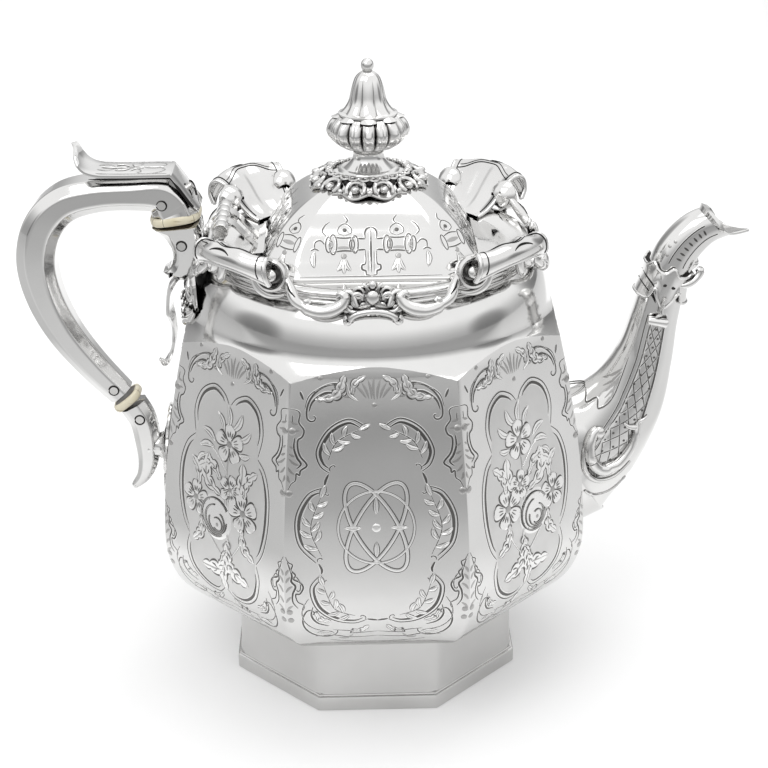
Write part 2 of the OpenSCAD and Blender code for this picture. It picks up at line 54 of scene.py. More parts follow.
# ---------- driving sizes ----------
BODY_HALF, BODY_WIDE_Z = 76.2, 62.0
BODY_TOP_HALF, PANEL_TOP_Z = 65.4, 139.0
BOTTOM_Z, BOTTOM_HALF = 31.0, 51.5
COVE_R, COVE_Z = 64.2, 145.0
SHOULDER_R, SHOULDER_Z = 56.0, 160.5
MOUTH_R, SEAT_Z, RIM_R = 36.5, 162.6, 58.0
TAN_PANEL = math.tan(math.radians(22.5))


# ---------- curves ----------
def bezier(a, b, c, d, n):
    t = np.linspace(0, 1, n + 1)[:, None]
    s = 1 - t
    a, b, c, d = (np.array(p, float) for p in (a, b, c, d))
    return s**3 * a + 3 * s * s * t * b + 3 * s * t * t * c + t**3 * d


def spline(points, n):
    """n + 1 points of a Catmull-Rom curve through the given points."""
    p = np.array(points, float)
    last = len(p) - 1
    u = np.clip(np.linspace(0, last, n + 1), 0, last - 1e-9)
    i = u.astype(int)
    t = (u - i)[:, None]
    a, b = p[np.maximum(i - 1, 0)], p[i]
    c, d = p[i + 1], p[np.minimum(i + 2, last)]
    return 0.5 * (2 * b + (c - a) * t + (2 * a - 5 * b + 4 * c - d) * t**2
                  + (3 * b - 3 * c + d - a) * t**3)


def curl(start, end, turns, n=44):
    """A scroll from one eye to the other; its first, middle and last part turn by turns, in degrees."""
    s = np.linspace(0, 1, n + 1)
    first, middle, last = (math.radians(a) for a in turns)
    rate = np.where(s < 0.3, first / 0.3, np.where(s < 0.7, middle / 0.4, last / 0.3))
    heading = np.cumsum(rate) / n
    speed = np.sin(np.pi * np.clip(s, 0.06, 0.94)) ** 1.3
    z = np.cumsum(speed * np.exp(1j * heading))
    z = (z - z[0]) / (z[-1] - z[0])
    a, b = complex(*start), complex(*end)
    z = a + z * (b - a)
    return np.stack([z.real, z.imag], 1)


def swell(n, thin, thick, power=1.0):
    """Widths along a stroke that is thin at both ends."""
    return thin + (thick - thin) * np.sin(np.pi * np.linspace(0, 1, n)) ** power


def side_shift(path, distance):
    """The same flat path moved sideways."""
    t = np.gradient(path, axis=0)
    t /= np.linalg.norm(t, axis=1)[:, None] + 1e-12
    return path + distance * np.stack([-t[:, 1], t[:, 0]], 1)


# ---------- mesh gathering ----------
class Shape:
    """Vertices, faces and a material number for each face, made into one mesh at the end."""

    def __init__(self):
        self.verts, self.faces, self.marks, self.count = [], [], [], 0

    def add(self, verts, faces, mark=0):
        verts = np.asarray(verts, float).reshape(-1, 3)
        self.verts.append(verts)
        self.faces += [tuple(int(i) + self.count for i in f) for f in faces]
        self.marks += [mark] * len(faces) if isinstance(mark, int) else list(mark)
        self.count += len(verts)

    def grid(self, p, wrap_u=False, wrap_v=False, mark=0, flip=False):
        """Quads over an array of points p[u, v]."""
        nu, nv = p.shape[:2]
        u = np.arange(nu if wrap_u else nu - 1)
        v = np.arange(nv if wrap_v else nv - 1)
        uu, vv = (a.ravel() for a in np.meshgrid(u, v, indexing="ij"))
        u2, v2 = (uu + 1) % nu, (vv + 1) % nv
        quads = np.stack([uu * nv + vv, u2 * nv + vv, u2 * nv + v2, uu * nv + v2], 1)
        marks = mark if isinstance(mark, int) else [mark[i] for i in vv]
        self.add(p.reshape(-1, 3), (quads[:, ::-1] if flip else quads).tolist(), marks)

    def tube(self, path, radius, sides=10, mark=0, squash=1.0, up=(0, 0, 1)):
        """A round or squashed bar along a path, closed at both ends."""
        path = np.asarray(path, float)
        radius = np.broadcast_to(np.asarray(radius, float), len(path))
        t = np.gradient(path, axis=0)
        t /= np.linalg.norm(t, axis=1)[:, None] + 1e-12
        side = np.cross(t, np.array(up, float))
        side /= np.linalg.norm(side, axis=1)[:, None] + 1e-9
        over = np.cross(side, t)
        a = np.linspace(0, 2 * np.pi, sides, endpoint=False)
        ring = (np.cos(a)[None, :, None] * side[:, None]
                + squash * np.sin(a)[None, :, None] * over[:, None])
        p = path[:, None] + radius[:, None, None] * ring
        p = np.concatenate([np.repeat(path[:1, None], sides, 1), p, np.repeat(path[-1:, None], sides, 1)])
        self.grid(p, wrap_v=True, mark=mark)

    def ball(self, centre, radii, mark=0, n=14, axes=None):
        """A ball or an egg; axes are its own three directions."""
        lat = np.linspace(-np.pi / 2, np.pi / 2, n + 1)
        lon = np.linspace(0, 2 * np.pi, 2 * n, endpoint=False)
        q = np.stack([np.outer(np.cos(lat), np.cos(lon)), np.outer(np.cos(lat), np.sin(lon)),
                      np.outer(np.sin(lat), np.ones_like(lon))], 2) * np.array(radii, float)
        if axes is not None:
            q = q @ np.array(axes, float)
        self.grid(q + np.array(centre, float), wrap_v=True, mark=mark, flip=True)

    def lathe(self, profile, n=96, mark=0, radial=None, flip=False):
        """A profile of (radius, z) turned about Z; radial(angle, row) may scale the radius."""
        profile = np.asarray(profile, float)
        a = np.linspace(0, 2 * np.pi, n, endpoint=False)
        r = profile[:, 0][None, :] * np.ones((n, 1))
        if radial is not None:
            r = r * radial(a[:, None], np.arange(len(profile))[None, :])
        z = np.broadcast_to(profile[:, 1], r.shape)
        p = np.stack([r * np.cos(a)[:, None], r * np.sin(a)[:, None], z], 2)
        self.grid(p, wrap_u=True, mark=mark, flip=flip)

    def take(self, other, moves):
        """Copies of another shape, one for each 3x3 matrix and offset."""
        verts = np.concatenate(other.verts)
        for matrix, offset in moves:
            m = np.array(matrix, float)
            faces = other.faces if np.linalg.det(m) > 0 else [f[::-1] for f in other.faces]
            self.add(verts @ m.T + np.array(offset, float), faces, list(other.marks))

    def build(self, name, body, materials, slot, replaces=(), crease=38):
        mesh = bpy.data.meshes.new(name)
        mesh.from_pydata(np.concatenate(self.verts) * MM, [], self.faces)
        for m in materials:
            mesh.materials.append(m)
        mesh.polygons.foreach_set("material_index", self.marks)
        mesh.polygons.foreach_set("use_smooth", [True] * len(self.faces))
        mesh.set_sharp_from_angle(angle=math.radians(crease))
        piece = bpy.data.objects.new(name, mesh)
        bpy.context.scene.collection.objects.link(piece)
        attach(piece, body)
        if replaces:
            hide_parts(*replaces)
        return piece


def turned(angle):
    a = math.radians(angle)
    return [[math.cos(a), -math.sin(a), 0], [math.sin(a), math.cos(a), 0], [0, 0, 1]]


ORIGIN = (0, 0, 0)
FOUR_CORNERS = [([[sx, 0, 0], [0, sy, 0], [0, 0, 1]], ORIGIN) for sx in (1, -1) for sy in (1, -1)]
EIGHT_SCROLLS = FOUR_CORNERS + [([[0, sx, 0], [sy, 0, 0], [0, 0, 1]], ORIGIN)
                                for sx in (1, -1) for sy in (1, -1)]
BOTH_SIDES = [([[1, 0, 0], [0, s, 0], [0, 0, 1]], ORIGIN) for s in (1, -1)]


# ---------- materials ----------
def nodes_of(name):
    m = bpy.data.materials.new(name)
    m.use_nodes = True
    tree = m.node_tree
    return m, tree, tree.nodes["Principled BSDF"], tree.nodes.new("ShaderNodeTexCoord")


def noise(tree, coords, scale, detail=4, stretch=None):
    n = tree.nodes.new("ShaderNodeTexNoise")
    n.inputs["Scale"].default_value = scale
    n.inputs["Detail"].default_value = detail
    source = coords.outputs["Object"]
    if stretch:
        mapping = tree.nodes.new("ShaderNodeMapping")
        mapping.inputs["Scale"].default_value = stretch
        tree.links.new(source, mapping.inputs["Vector"])
        source = mapping.outputs["Vector"]
    tree.links.new(source, n.inputs["Vector"])
    return n.outputs["Fac"]


def spread(tree, value, low, high, from_low=0.3, from_high=0.7):
    m = tree.nodes.new("ShaderNodeMapRange")
    m.inputs["From Min"].default_value = from_low
    m.inputs["From Max"].default_value = from_high
    m.inputs["To Min"].default_value = low
    m.inputs["To Max"].default_value = high
    tree.links.new(value, m.inputs["Value"])
    return m.outputs["Result"]


def mixed(tree, factor, a, b):
    m = tree.nodes.new("ShaderNodeMix")
    m.data_type = "RGBA"
    for key, value in (("A", a), ("B", b)):
        if isinstance(value, tuple):
            m.inputs[key].default_value = (*value, 1)
        else:
            tree.links.new(value, m.inputs[key])
    tree.links.new(factor, m.inputs["Factor"])
    return m.outputs["Result"]


def bumped(tree, shader, height, distance, strength=1.0):
    b = tree.nodes.new("ShaderNodeBump")
    b.inputs["Distance"].default_value = distance
    b.inputs["Strength"].default_value = strength
    tree.links.new(height, b.inputs["Height"])
    tree.links.new(b.outputs["Normal"], shader.inputs["Normal"])


def silver(name, bright, dull, rough, grain=900, depth=0.000003, tarnish_and_shade=None, reach=0.002):
    """Silver whose colour and gloss vary a little; a hollow colour, if given, darkens its hollows as
    ambient occlusion finds them: partly tarnish, partly painted shade.
    """
    m, tree, shader, coords = nodes_of(name)
    shader.inputs["Metallic"].default_value = 1
    cloud = noise(tree, coords, 35)
    colour = mixed(tree, spread(tree, cloud, 0, 1), bright, dull)
    if tarnish_and_shade:
        # partly tarnish, partly painted shade: the colour darkens where ambient occlusion finds the surface
        # closed in
        hollow = tree.nodes.new("ShaderNodeAmbientOcclusion")
        hollow.samples = 6
        hollow.inputs["Distance"].default_value = reach
        shade = tree.nodes.new("ShaderNodeMix")
        shade.data_type = "RGBA"
        shade.inputs["A"].default_value = (*tarnish_and_shade, 1)
        tree.links.new(colour, shade.inputs["B"])
        tree.links.new(spread(tree, hollow.outputs["AO"], 0, 1, 0.25, 0.8), shade.inputs["Factor"])
        colour = shade.outputs["Result"]
    tree.links.new(colour, shader.inputs["Base Color"])
    tree.links.new(spread(tree, noise(tree, coords, 140, 6), *rough), shader.inputs["Roughness"])
    bumped(tree, shader, noise(tree, coords, grain, 3), depth)
    return m


POLISHED = silver("polished_silver", (0.75, 0.747, 0.74), (0.70, 0.697, 0.69), (0.05, 0.10))
BASE = silver("base_silver", (0.62, 0.617, 0.61), (0.56, 0.557, 0.55), (0.07, 0.12))
SHEET = silver("engraved_silver", (0.76, 0.757, 0.75), (0.70, 0.697, 0.69), (0.08, 0.14))
# cast, chased and handle silver darken in their hollows: partly tarnish, partly painted shade
CAST = silver("cast_silver", (0.80, 0.796, 0.788), (0.66, 0.656, 0.65), (0.08, 0.17), 700, 0.00001,
              tarnish_and_shade=(0.20, 0.196, 0.19))
CHASED = silver("chased_silver", (0.74, 0.736, 0.728), (0.60, 0.596, 0.59), (0.10, 0.20), 700, 0.00001,
                tarnish_and_shade=(0.34, 0.336, 0.33), reach=0.0012)
HANDLE = silver("handle_silver", (0.76, 0.757, 0.75), (0.70, 0.697, 0.69), (0.06, 0.11),
                tarnish_and_shade=(0.12, 0.116, 0.112), reach=0.0012)
FITTING = silver("silver_fittings", (0.78, 0.775, 0.76), (0.64, 0.635, 0.625), (0.16, 0.30), 1500, 0.000006)
GROOVE = silver("cut_line", (0.18, 0.176, 0.17), (0.10, 0.098, 0.095), (0.25, 0.40))
HATCH = silver("cut_shading", (0.50, 0.496, 0.49), (0.38, 0.376, 0.37), (0.22, 0.34))
RELIEF = silver("bright_cut", (0.92, 0.917, 0.91), (0.82, 0.817, 0.81), (0.14, 0.24))
MATTED = silver("matted_ground", (0.76, 0.757, 0.75), (0.66, 0.657, 0.65), (0.42, 0.52), 5200, 0.00002)
# darker copy of the silver for insides and hollows: painted shade
SHADED_INSIDE = silver("inside_silver_painted_shade", (0.42, 0.416, 0.41), (0.30, 0.296, 0.29), (0.22, 0.38))
# near black: oxide in fine joints and cut lines, and painted shade in holes, gaps and hollows
OXIDE_AND_PAINTED_SHADE = silver("oxide_and_painted_shade", (0.045, 0.043, 0.042), (0.02, 0.02, 0.02), (0.45, 0.6))


def ivory(name):
    """Cream disc with fine growth lines and darker age cracks."""
    m, tree, shader, coords = nodes_of(name)
    lines = noise(tree, coords, 260, 4, (1, 1, 0.12))
    cracks = spread(tree, noise(tree, coords, 700, 5, (0.2, 0.2, 1.6)), 1, 0, 0.60, 0.68)
    base = mixed(tree, spread(tree, lines, 0, 1), (0.80, 0.75, 0.60), (0.70, 0.63, 0.45))
    dark = tree.nodes.new("ShaderNodeMix")
    dark.data_type = "RGBA"
    dark.inputs["A"].default_value = (0.33, 0.27, 0.16, 1)
    tree.links.new(base, dark.inputs["B"])
    tree.links.new(cracks, dark.inputs["Factor"])
    tree.links.new(dark.outputs["Result"], shader.inputs["Base Color"])
    tree.links.new(spread(tree, lines, 0.28, 0.42), shader.inputs["Roughness"])
    bumped(tree, shader, lines, 0.00004)
    return m


IVORY = ivory("ivory")
# dark line colour: the age cracks, and painted shade where each disc meets its socket
IVORY_CRACK_AND_SHADE = ivory("ivory_crack_and_painted_shade")
crack_and_shade_colour = IVORY_CRACK_AND_SHADE.node_tree.nodes["Principled BSDF"].inputs["Base Color"]
IVORY_CRACK_AND_SHADE.node_tree.links.remove(crack_and_shade_colour.links[0])
crack_and_shade_colour.default_value = (0.10, 0.075, 0.045, 1)


# ---------- foot ----------
def octagon_loft(shape, rows, flats=8, arc=5, mark=0, flip=False):
    """Rings of (half width, z, corner radius) round the octagon, with rounded corners."""
    rings = []
    for half, z, radius in rows:
        ring = []
        for k in range(8):
            a = math.radians(45 * k)
            n, t = np.array([math.cos(a), math.sin(a)]), np.array([-math.sin(a), math.cos(a)])
            edge = half * TAN_PANEL - radius * TAN_PANEL
            ring += [n * half + t * u for u in np.linspace(-edge, edge, flats + 1)]
            centre = n * (half - radius) + t * edge
            for j in range(1, arc + 1):
                b = a + math.radians(45) * j / (arc + 1)
                ring.append(centre + radius * np.array([math.cos(b), math.sin(b)]))
        rings.append([(p[0], p[1], z) for p in ring])
    p = np.array(rings)
    shape.grid(p, wrap_v=True, mark=mark, flip=not flip)


def make_foot():
    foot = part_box("foot_band")[1].x / MM
    wall = foot - 1.0
    band = [(foot - 3.2, 0.6, 0.6), (foot - 2.6, 0.0, 0.6), (foot - 0.6, 0.0, 0.7),
            (foot - 0.15, 0.15, 0.7),
            (foot, 0.6, 0.8), (foot, 5.2, 0.8), (foot - 0.15, 5.65, 0.8), (foot - 0.5, 5.85, 0.8),
            (foot - 0.75, 5.9, 0.8), (foot - 0.8, 6.2, 0.8), (foot - 0.9, 6.5, 0.8),
            (foot - 1.3, 6.65, 0.8),
            (foot - 2.2, 6.7, 0.9), (foot - 2.6, 6.4, 0.9)]
    shape = Shape()
    octagon_loft(shape, band)
    shape.build("foot_band_finish", "pot", [BASE], "polished_silver", ["foot_band"])
    shape = Shape()
    z = np.linspace(6.5, BOTTOM_Z, 26)
    hollow = 0.5 * np.sin(np.pi * (z - 6.5) / (BOTTOM_Z - 6.5))
    octagon_loft(shape, [(wall - h, zz, 7.5) for h, zz in zip(hollow, z)])
    # inside of the foot wall in the darker inside silver: painted shade
    octagon_loft(shape, [(wall - 1.1 - h, zz, 7.0) for h, zz in zip(hollow, z)], flip=True, mark=1)
    shape.build("foot_wall_finish", "pot", [BASE, SHADED_INSIDE], "polished_silver", ["foot_wall"])


# ---------- body ----------
def panel_half(z):
    z = np.asarray(z, float)
    low = BOTTOM_HALF + (BODY_HALF - BOTTOM_HALF) * np.sqrt(
        np.clip(1 - (np.clip(BODY_WIDE_Z - z, 0, None) / (BODY_WIDE_Z - BOTTOM_Z)) ** 2, 0, 1))
    high = BODY_HALF - (BODY_HALF - BODY_TOP_HALF) * (
        np.clip(z - BODY_WIDE_Z, 0, PANEL_TOP_Z - BODY_WIDE_Z) / (PANEL_TOP_Z - BODY_WIDE_Z)) ** 1.66
    return np.where(z < BODY_WIDE_Z, low, high)


SHOULDER_LINE = np.concatenate([
    bezier((76, 133.6), (68.5, 138.5), (65, 140.5), (COVE_R, COVE_Z), 60),
    bezier((COVE_R, COVE_Z), (63.5, 150), (62, 157.5), (SHOULDER_R, SHOULDER_Z), 80)[1:]])


def octagon_radius(phi, half, soft=0.35):
    """Distance to the octagon's side at an angle, with the corner a little rounded."""
    local = (phi + math.pi / 8) % (math.pi / 4) - math.pi / 8
    a = half / np.cos(local)
    b = half / np.cos(math.pi / 4 - np.abs(local))
    h = np.clip(0.5 + 0.5 * (b - a) / soft, 0, 1)
    return b * (1 - h) + a * h - soft * h * (1 - h)


def body_surface(shape, columns_per_panel, inset=0.0, mark=0, flip=False):
    """Panels up to the arch where the round shoulder cuts them, then the shoulder itself."""
    turn = np.linspace(-1, 1, columns_per_panel, endpoint=False)
    turn = np.sign(turn) * (1 - (1 - np.abs(turn)) ** 1.35)
    phi = np.concatenate([math.pi / 4 * k + turn * math.pi / 8 for k in range(8)])
    low = np.concatenate([BOTTOM_Z + 31 * np.linspace(0, 1, 40) ** 2.0, np.linspace(62, 133, 60)[1:]])
    columns = []
    for a in phi:
        reach = octagon_radius(a, panel_half(SHOULDER_LINE[:, 1]))
        cut = int(np.argmax(SHOULDER_LINE[:, 0] < reach))
        z_cut = SHOULDER_LINE[cut, 1]
        z = np.concatenate([low, np.linspace(133, z_cut, 9)[1:]])
        r = octagon_radius(a, panel_half(z))
        rest = np.linspace(cut, len(SHOULDER_LINE) - 1, 40)[1:]
        i = np.arange(len(SHOULDER_LINE))
        up_r, up_z = (np.interp(rest, i, SHOULDER_LINE[:, c]) for c in (0, 1))
        r, z = np.concatenate([r, up_r]) - inset, np.concatenate([z, up_z])
        columns.append(np.stack([r * math.cos(a), r * math.sin(a), z], 1))
    shape.grid(np.array(columns), wrap_u=True, mark=mark, flip=flip)


def make_body():
    shape = Shape()
    body_surface(shape, 30)
    # inside of the body in the darker inside silver: painted shade
    body_surface(shape, 8, inset=1.0, mark=1, flip=True)
    top = [(SHOULDER_R, SHOULDER_Z), (50, SHOULDER_Z + 0.3), (MOUTH_R + 1, SHOULDER_Z + 0.3),
           (MOUTH_R + 1, SHOULDER_Z - 0.8)]
    shape.lathe(top, 128)
    # underside and inside of the bottom in the darker inside silver: painted shade
    shape.lathe([(BOTTOM_HALF + 1.5, BOTTOM_Z + 0.4), (42, BOTTOM_Z), (0.01, BOTTOM_Z)], 64, mark=1)
    shape.lathe([(BOTTOM_HALF, BOTTOM_Z + 1.4), (42, BOTTOM_Z + 1), (0.01, BOTTOM_Z + 1)], 64, mark=1,
                flip=True)
    shape.build("body_sheet", "pot", [SHEET, SHADED_INSIDE], "engraved_silver", ["body_shell"], crease=30)


# ---------- rim ----------
def make_bezel():
    profile = np.concatenate([
        [(MOUTH_R, SHOULDER_Z - 0.6), (MOUTH_R, SEAT_Z - 0.3), (MOUTH_R + 0.3, SEAT_Z), (47.0, SEAT_Z)],
        bezier((47.0, SEAT_Z), (50.5, SEAT_Z), (53, 164.6), (56.0, 165.0), 10)[1:],
        bezier((56.0, 165.0), (58.4, 165.3), (58.6, 163.4), (57.0, 163.2), 8)[1:],
        bezier((57.0, 163.2), (55.8, 163.0), (56.2, 161.8), (57.2, 161.6), 6)[1:],
        bezier((57.2, 161.6), (58.2, 161.0), (57.4, 160.2), (SHOULDER_R - 0.3, SHOULDER_Z - 0.3), 6)[1:]])
    shape = Shape()
    shape.lathe(profile[::-1], 192)
    shape.build("mouth_bezel_finish", "pot", [POLISHED], "polished_silver", ["mouth_bezel"])


# ---------- lid ----------
LID_ROWS = [(38.0, 45.2, 163.0), (37.5, 44.8, 163.7), (36.6, 44.0, 165.0), (35.4, 43.2, 167.2),
            (33.8, 41.6, 169.6),
            (30.4, 37.2, 175.8), (24.4, 30.2, 181.7), (17.5, 22.0, 185.8), (9, 11.6, 188.4)]


def lid_point(u_angle, s, lift=0.0):
    """Point of the dome: u_angle is its direction about the axis, s runs from edge (0) to top (1)."""
    rows = LID_CURVE
    i = np.clip(np.asarray(s) * (len(rows) - 1), 0, len(rows) - 1 - 1e-6)
    j = i.astype(int)
    f = i - j
    half, corner, z = (rows[j, c] * (1 - f) + rows[j + 1, c] * f for c in range(3))
    local = (u_angle + math.pi / 4) % (math.pi / 2) - math.pi / 4
    a = half / np.cos(local)
    b = corner / np.cos(math.pi / 4 - np.abs(local))
    soft = 0.5
    h = np.clip(0.5 + 0.5 * (b - a) / soft, 0, 1)
    r = b * (1 - h) + a * h - soft * h * (1 - h) + lift
    return np.stack([r * np.cos(u_angle), r * np.sin(u_angle), z], -1)


LID_CURVE = spline(LID_ROWS, 160)


def make_lid():
    shape = Shape()
    turn = np.linspace(0, 2 * np.pi, 288, endpoint=False)
    s = np.linspace(0, 1, 70)
    a, t = np.meshgrid(turn, s, indexing="ij")
    shape.grid(lid_point(a, t), wrap_u=True)
    # inside of the dome in the darker inside silver: painted shade
    shape.grid(lid_point(a[::3], t[::3], -0.9)[:, ::4], wrap_u=True, mark=1, flip=True)
    edge = [lid_point(turn, np.zeros_like(turn)), lid_point(turn, np.zeros_like(turn), -0.9)]
    shape.grid(np.stack(edge, 1), wrap_u=True, flip=True)
    shape.lathe([(12.8, 187.9), (1.7, 188.5)], 48)
    shape.build("lid_sheet", "lid", [SHEET, SHADED_INSIDE], "engraved_silver", ["lid_dome"], crease=30)


# ---------- finial ----------
def make_finial():
    base = np.concatenate([bezier((10.6, 188.2), (10.8, 190.2), (7.2, 191.6), (5.7, 194.4), 14),
                           bezier((5.7, 194.4), (5.2, 196.2), (5.4, 197.4), (6.8, 198.6), 8)[1:]])
    shape = Shape()
    shape.lathe(base, 96)
    shape.build("finial_base_finish", "lid", [POLISHED], "polished_silver", ["finial_base"])

    melon = np.concatenate([bezier((5.8, 198.0), (12.4, 198.4), (15.4, 203.4), (14.4, 205.4), 22),
                            bezier((14.4, 205.4), (13.6, 208.4), (11.4, 209.6), (9.4, 210.0), 12)[1:]])
    rows = len(melon)

    def lobes(a, row):
        wave = np.abs(np.cos(4 * a)) ** 0.55
        ribs = np.abs(np.cos(8 * a)) ** 0.6
        fade = np.sin(np.pi * np.clip(row / (rows - 1), 0.02, 0.98)) ** 0.5
        return 1 - fade * (0.20 * (1 - ribs) + 0.07 * (1 - wave))

    shape = Shape()
    shape.lathe(melon, 320, radial=lobes)
    shape.lathe([(9.6, 209.7), (10.3, 210.0), (10.3, 210.6), (9.2, 211.0), (4, 211.1)], 96)
    shape.build("finial_melon_finish", "lid", [CAST], "cast_silver", ["finial_melon"])

    bell = np.concatenate([bezier((12.8, 209.2), (9.4, 210.4), (7.0, 212.6), (6.2, 216.5), 22),
                           bezier((6.2, 216.5), (5.7, 219.0), (5.2, 221.0), (4.3, 222.8), 10)[1:],
                           bezier((4.3, 222.8), (3.4, 224.3), (2.0, 224.8), (1.2, 225.2), 5)[1:]])
    count = len(bell)

    def petals(a, row):
        low = 1 - np.clip(row / (count - 1), 0, 1)
        tips = np.abs(np.cos(4 * a)) ** 0.7
        return 1 - (1 - tips) * (0.05 + 0.26 * low**2.6)

    shape = Shape()
    shape.lathe(bell, 256, radial=petals)
    # inside of the bell in the darker inside silver: painted shade
    shape.lathe(bell[:14] * [0.94, 1] - [0, 0.3], 256, radial=petals, flip=True, mark=1)
    shape.build("finial_bell_finish", "lid", [CAST, SHADED_INSIDE], "cast_silver", ["finial_bell"])
    shape = Shape()
    shape.ball((0, 0, 226.8), (2.25, 2.25, 2.5), n=20)
    shape.lathe([(1.5, 224.8), (1.7, 225.1), (1.2, 225.4)], 32)
    shape.build("finial_ball_finish", "lid", [POLISHED], "cast_silver", ["finial_ball"])


# ---------- surfaces that carry engraving ----------
def panel_surface(k):
    """Panel k at 45k degrees: (u, z) to a point and the way out of the surface."""
    a = math.radians(45 * k)
    n, t = np.array([math.cos(a), math.sin(a), 0]), np.array([-math.sin(a), math.cos(a), 0])

    def surface(p):
        half = panel_half(p[:, 1])
        slope = (panel_half(p[:, 1] + 0.05) - panel_half(p[:, 1] - 0.05)) / 0.1
        pos = half[:, None] * n + p[:, :1] * t + p[:, 1:] * [0, 0, 1]
        out = n - slope[:, None] * [0, 0, 1]
        return pos, out / np.linalg.norm(out, axis=1)[:, None]
    return surface


def along(path, u):
    """Catmull-Rom points of a path at any u from 0 to 1, without gathering a whole curve."""
    p = np.array(path, float)
    last = len(p) - 1
    s = np.clip(u, 0, 1 - 1e-9) * last
    i = s.astype(int)
    t = (s - i)[..., None]
    a, b = p[np.maximum(i - 1, 0)], p[i]
    c, d = p[i + 1], p[np.minimum(i + 2, last)]
    return 0.5 * (2 * b + (c - a) * t + (2 * a - 5 * b + 4 * c - d) * t**2 + (3 * b - 3 * c + d - a) * t**3)


def swept(path, u, v, y):
    """Points beside a path in the XZ plane: v is square to it, y is sideways."""
    c = along(path, u)
    d = along(path, np.minimum(u + 0.004, 1)) - along(path, np.maximum(u - 0.004, 0))
    d /= np.linalg.norm(d, axis=-1)[..., None] + 1e-12
    return np.stack([c[..., 0] - v * d[..., 1], y, c[..., 1] + v * d[..., 0]], -1)


# Cross-sections of a cut: (place across, height above the sheet), and what each strip between them is
CUT = ([-0.5, -0.28, 0, 0.28, 0.5], [0.0, 0.05, 0.012, 0.05, 0.0], [1, 0, 0, 1])
LEAF = ([-0.5, -0.36, -0.10, 0, 0.10, 0.36, 0.5], [0.0, 0.10, 0.17, 0.05, 0.17, 0.10, 0.0],
        [0, 1, 1, 2, 1, 0])
PETAL = ([-0.5, -0.38, -0.15, 0, 0.15, 0.38, 0.5], [0.0, 0.16, 0.24, 0.18, 0.24, 0.16, 0.0],
         [0, 1, 1, 1, 1, 0])
SHADE = ([-0.5, 0, 0.5], [0.0, 0.03, 0.0], [2, 2])
ROSE_CUT = ([-0.5, 0, 0.5], [0.52, 0.62, 0.52], [0, 2])
VEIN = ([-0.5, 0, 0.5], [0.42, 0.54, 0.42], [0, 2])
STRAP = ([-0.5, -0.36, -0.3, 0.3, 0.36, 0.5], [0.0, 0.05, 0.10, 0.10, 0.05, 0.0], [0, 0, 1, 0, 0])
CUT_FINISH = [GROOVE, RELIEF, HATCH, MATTED]
BOLD = 1.45  # plain cuts are drawn this many times wider than written below


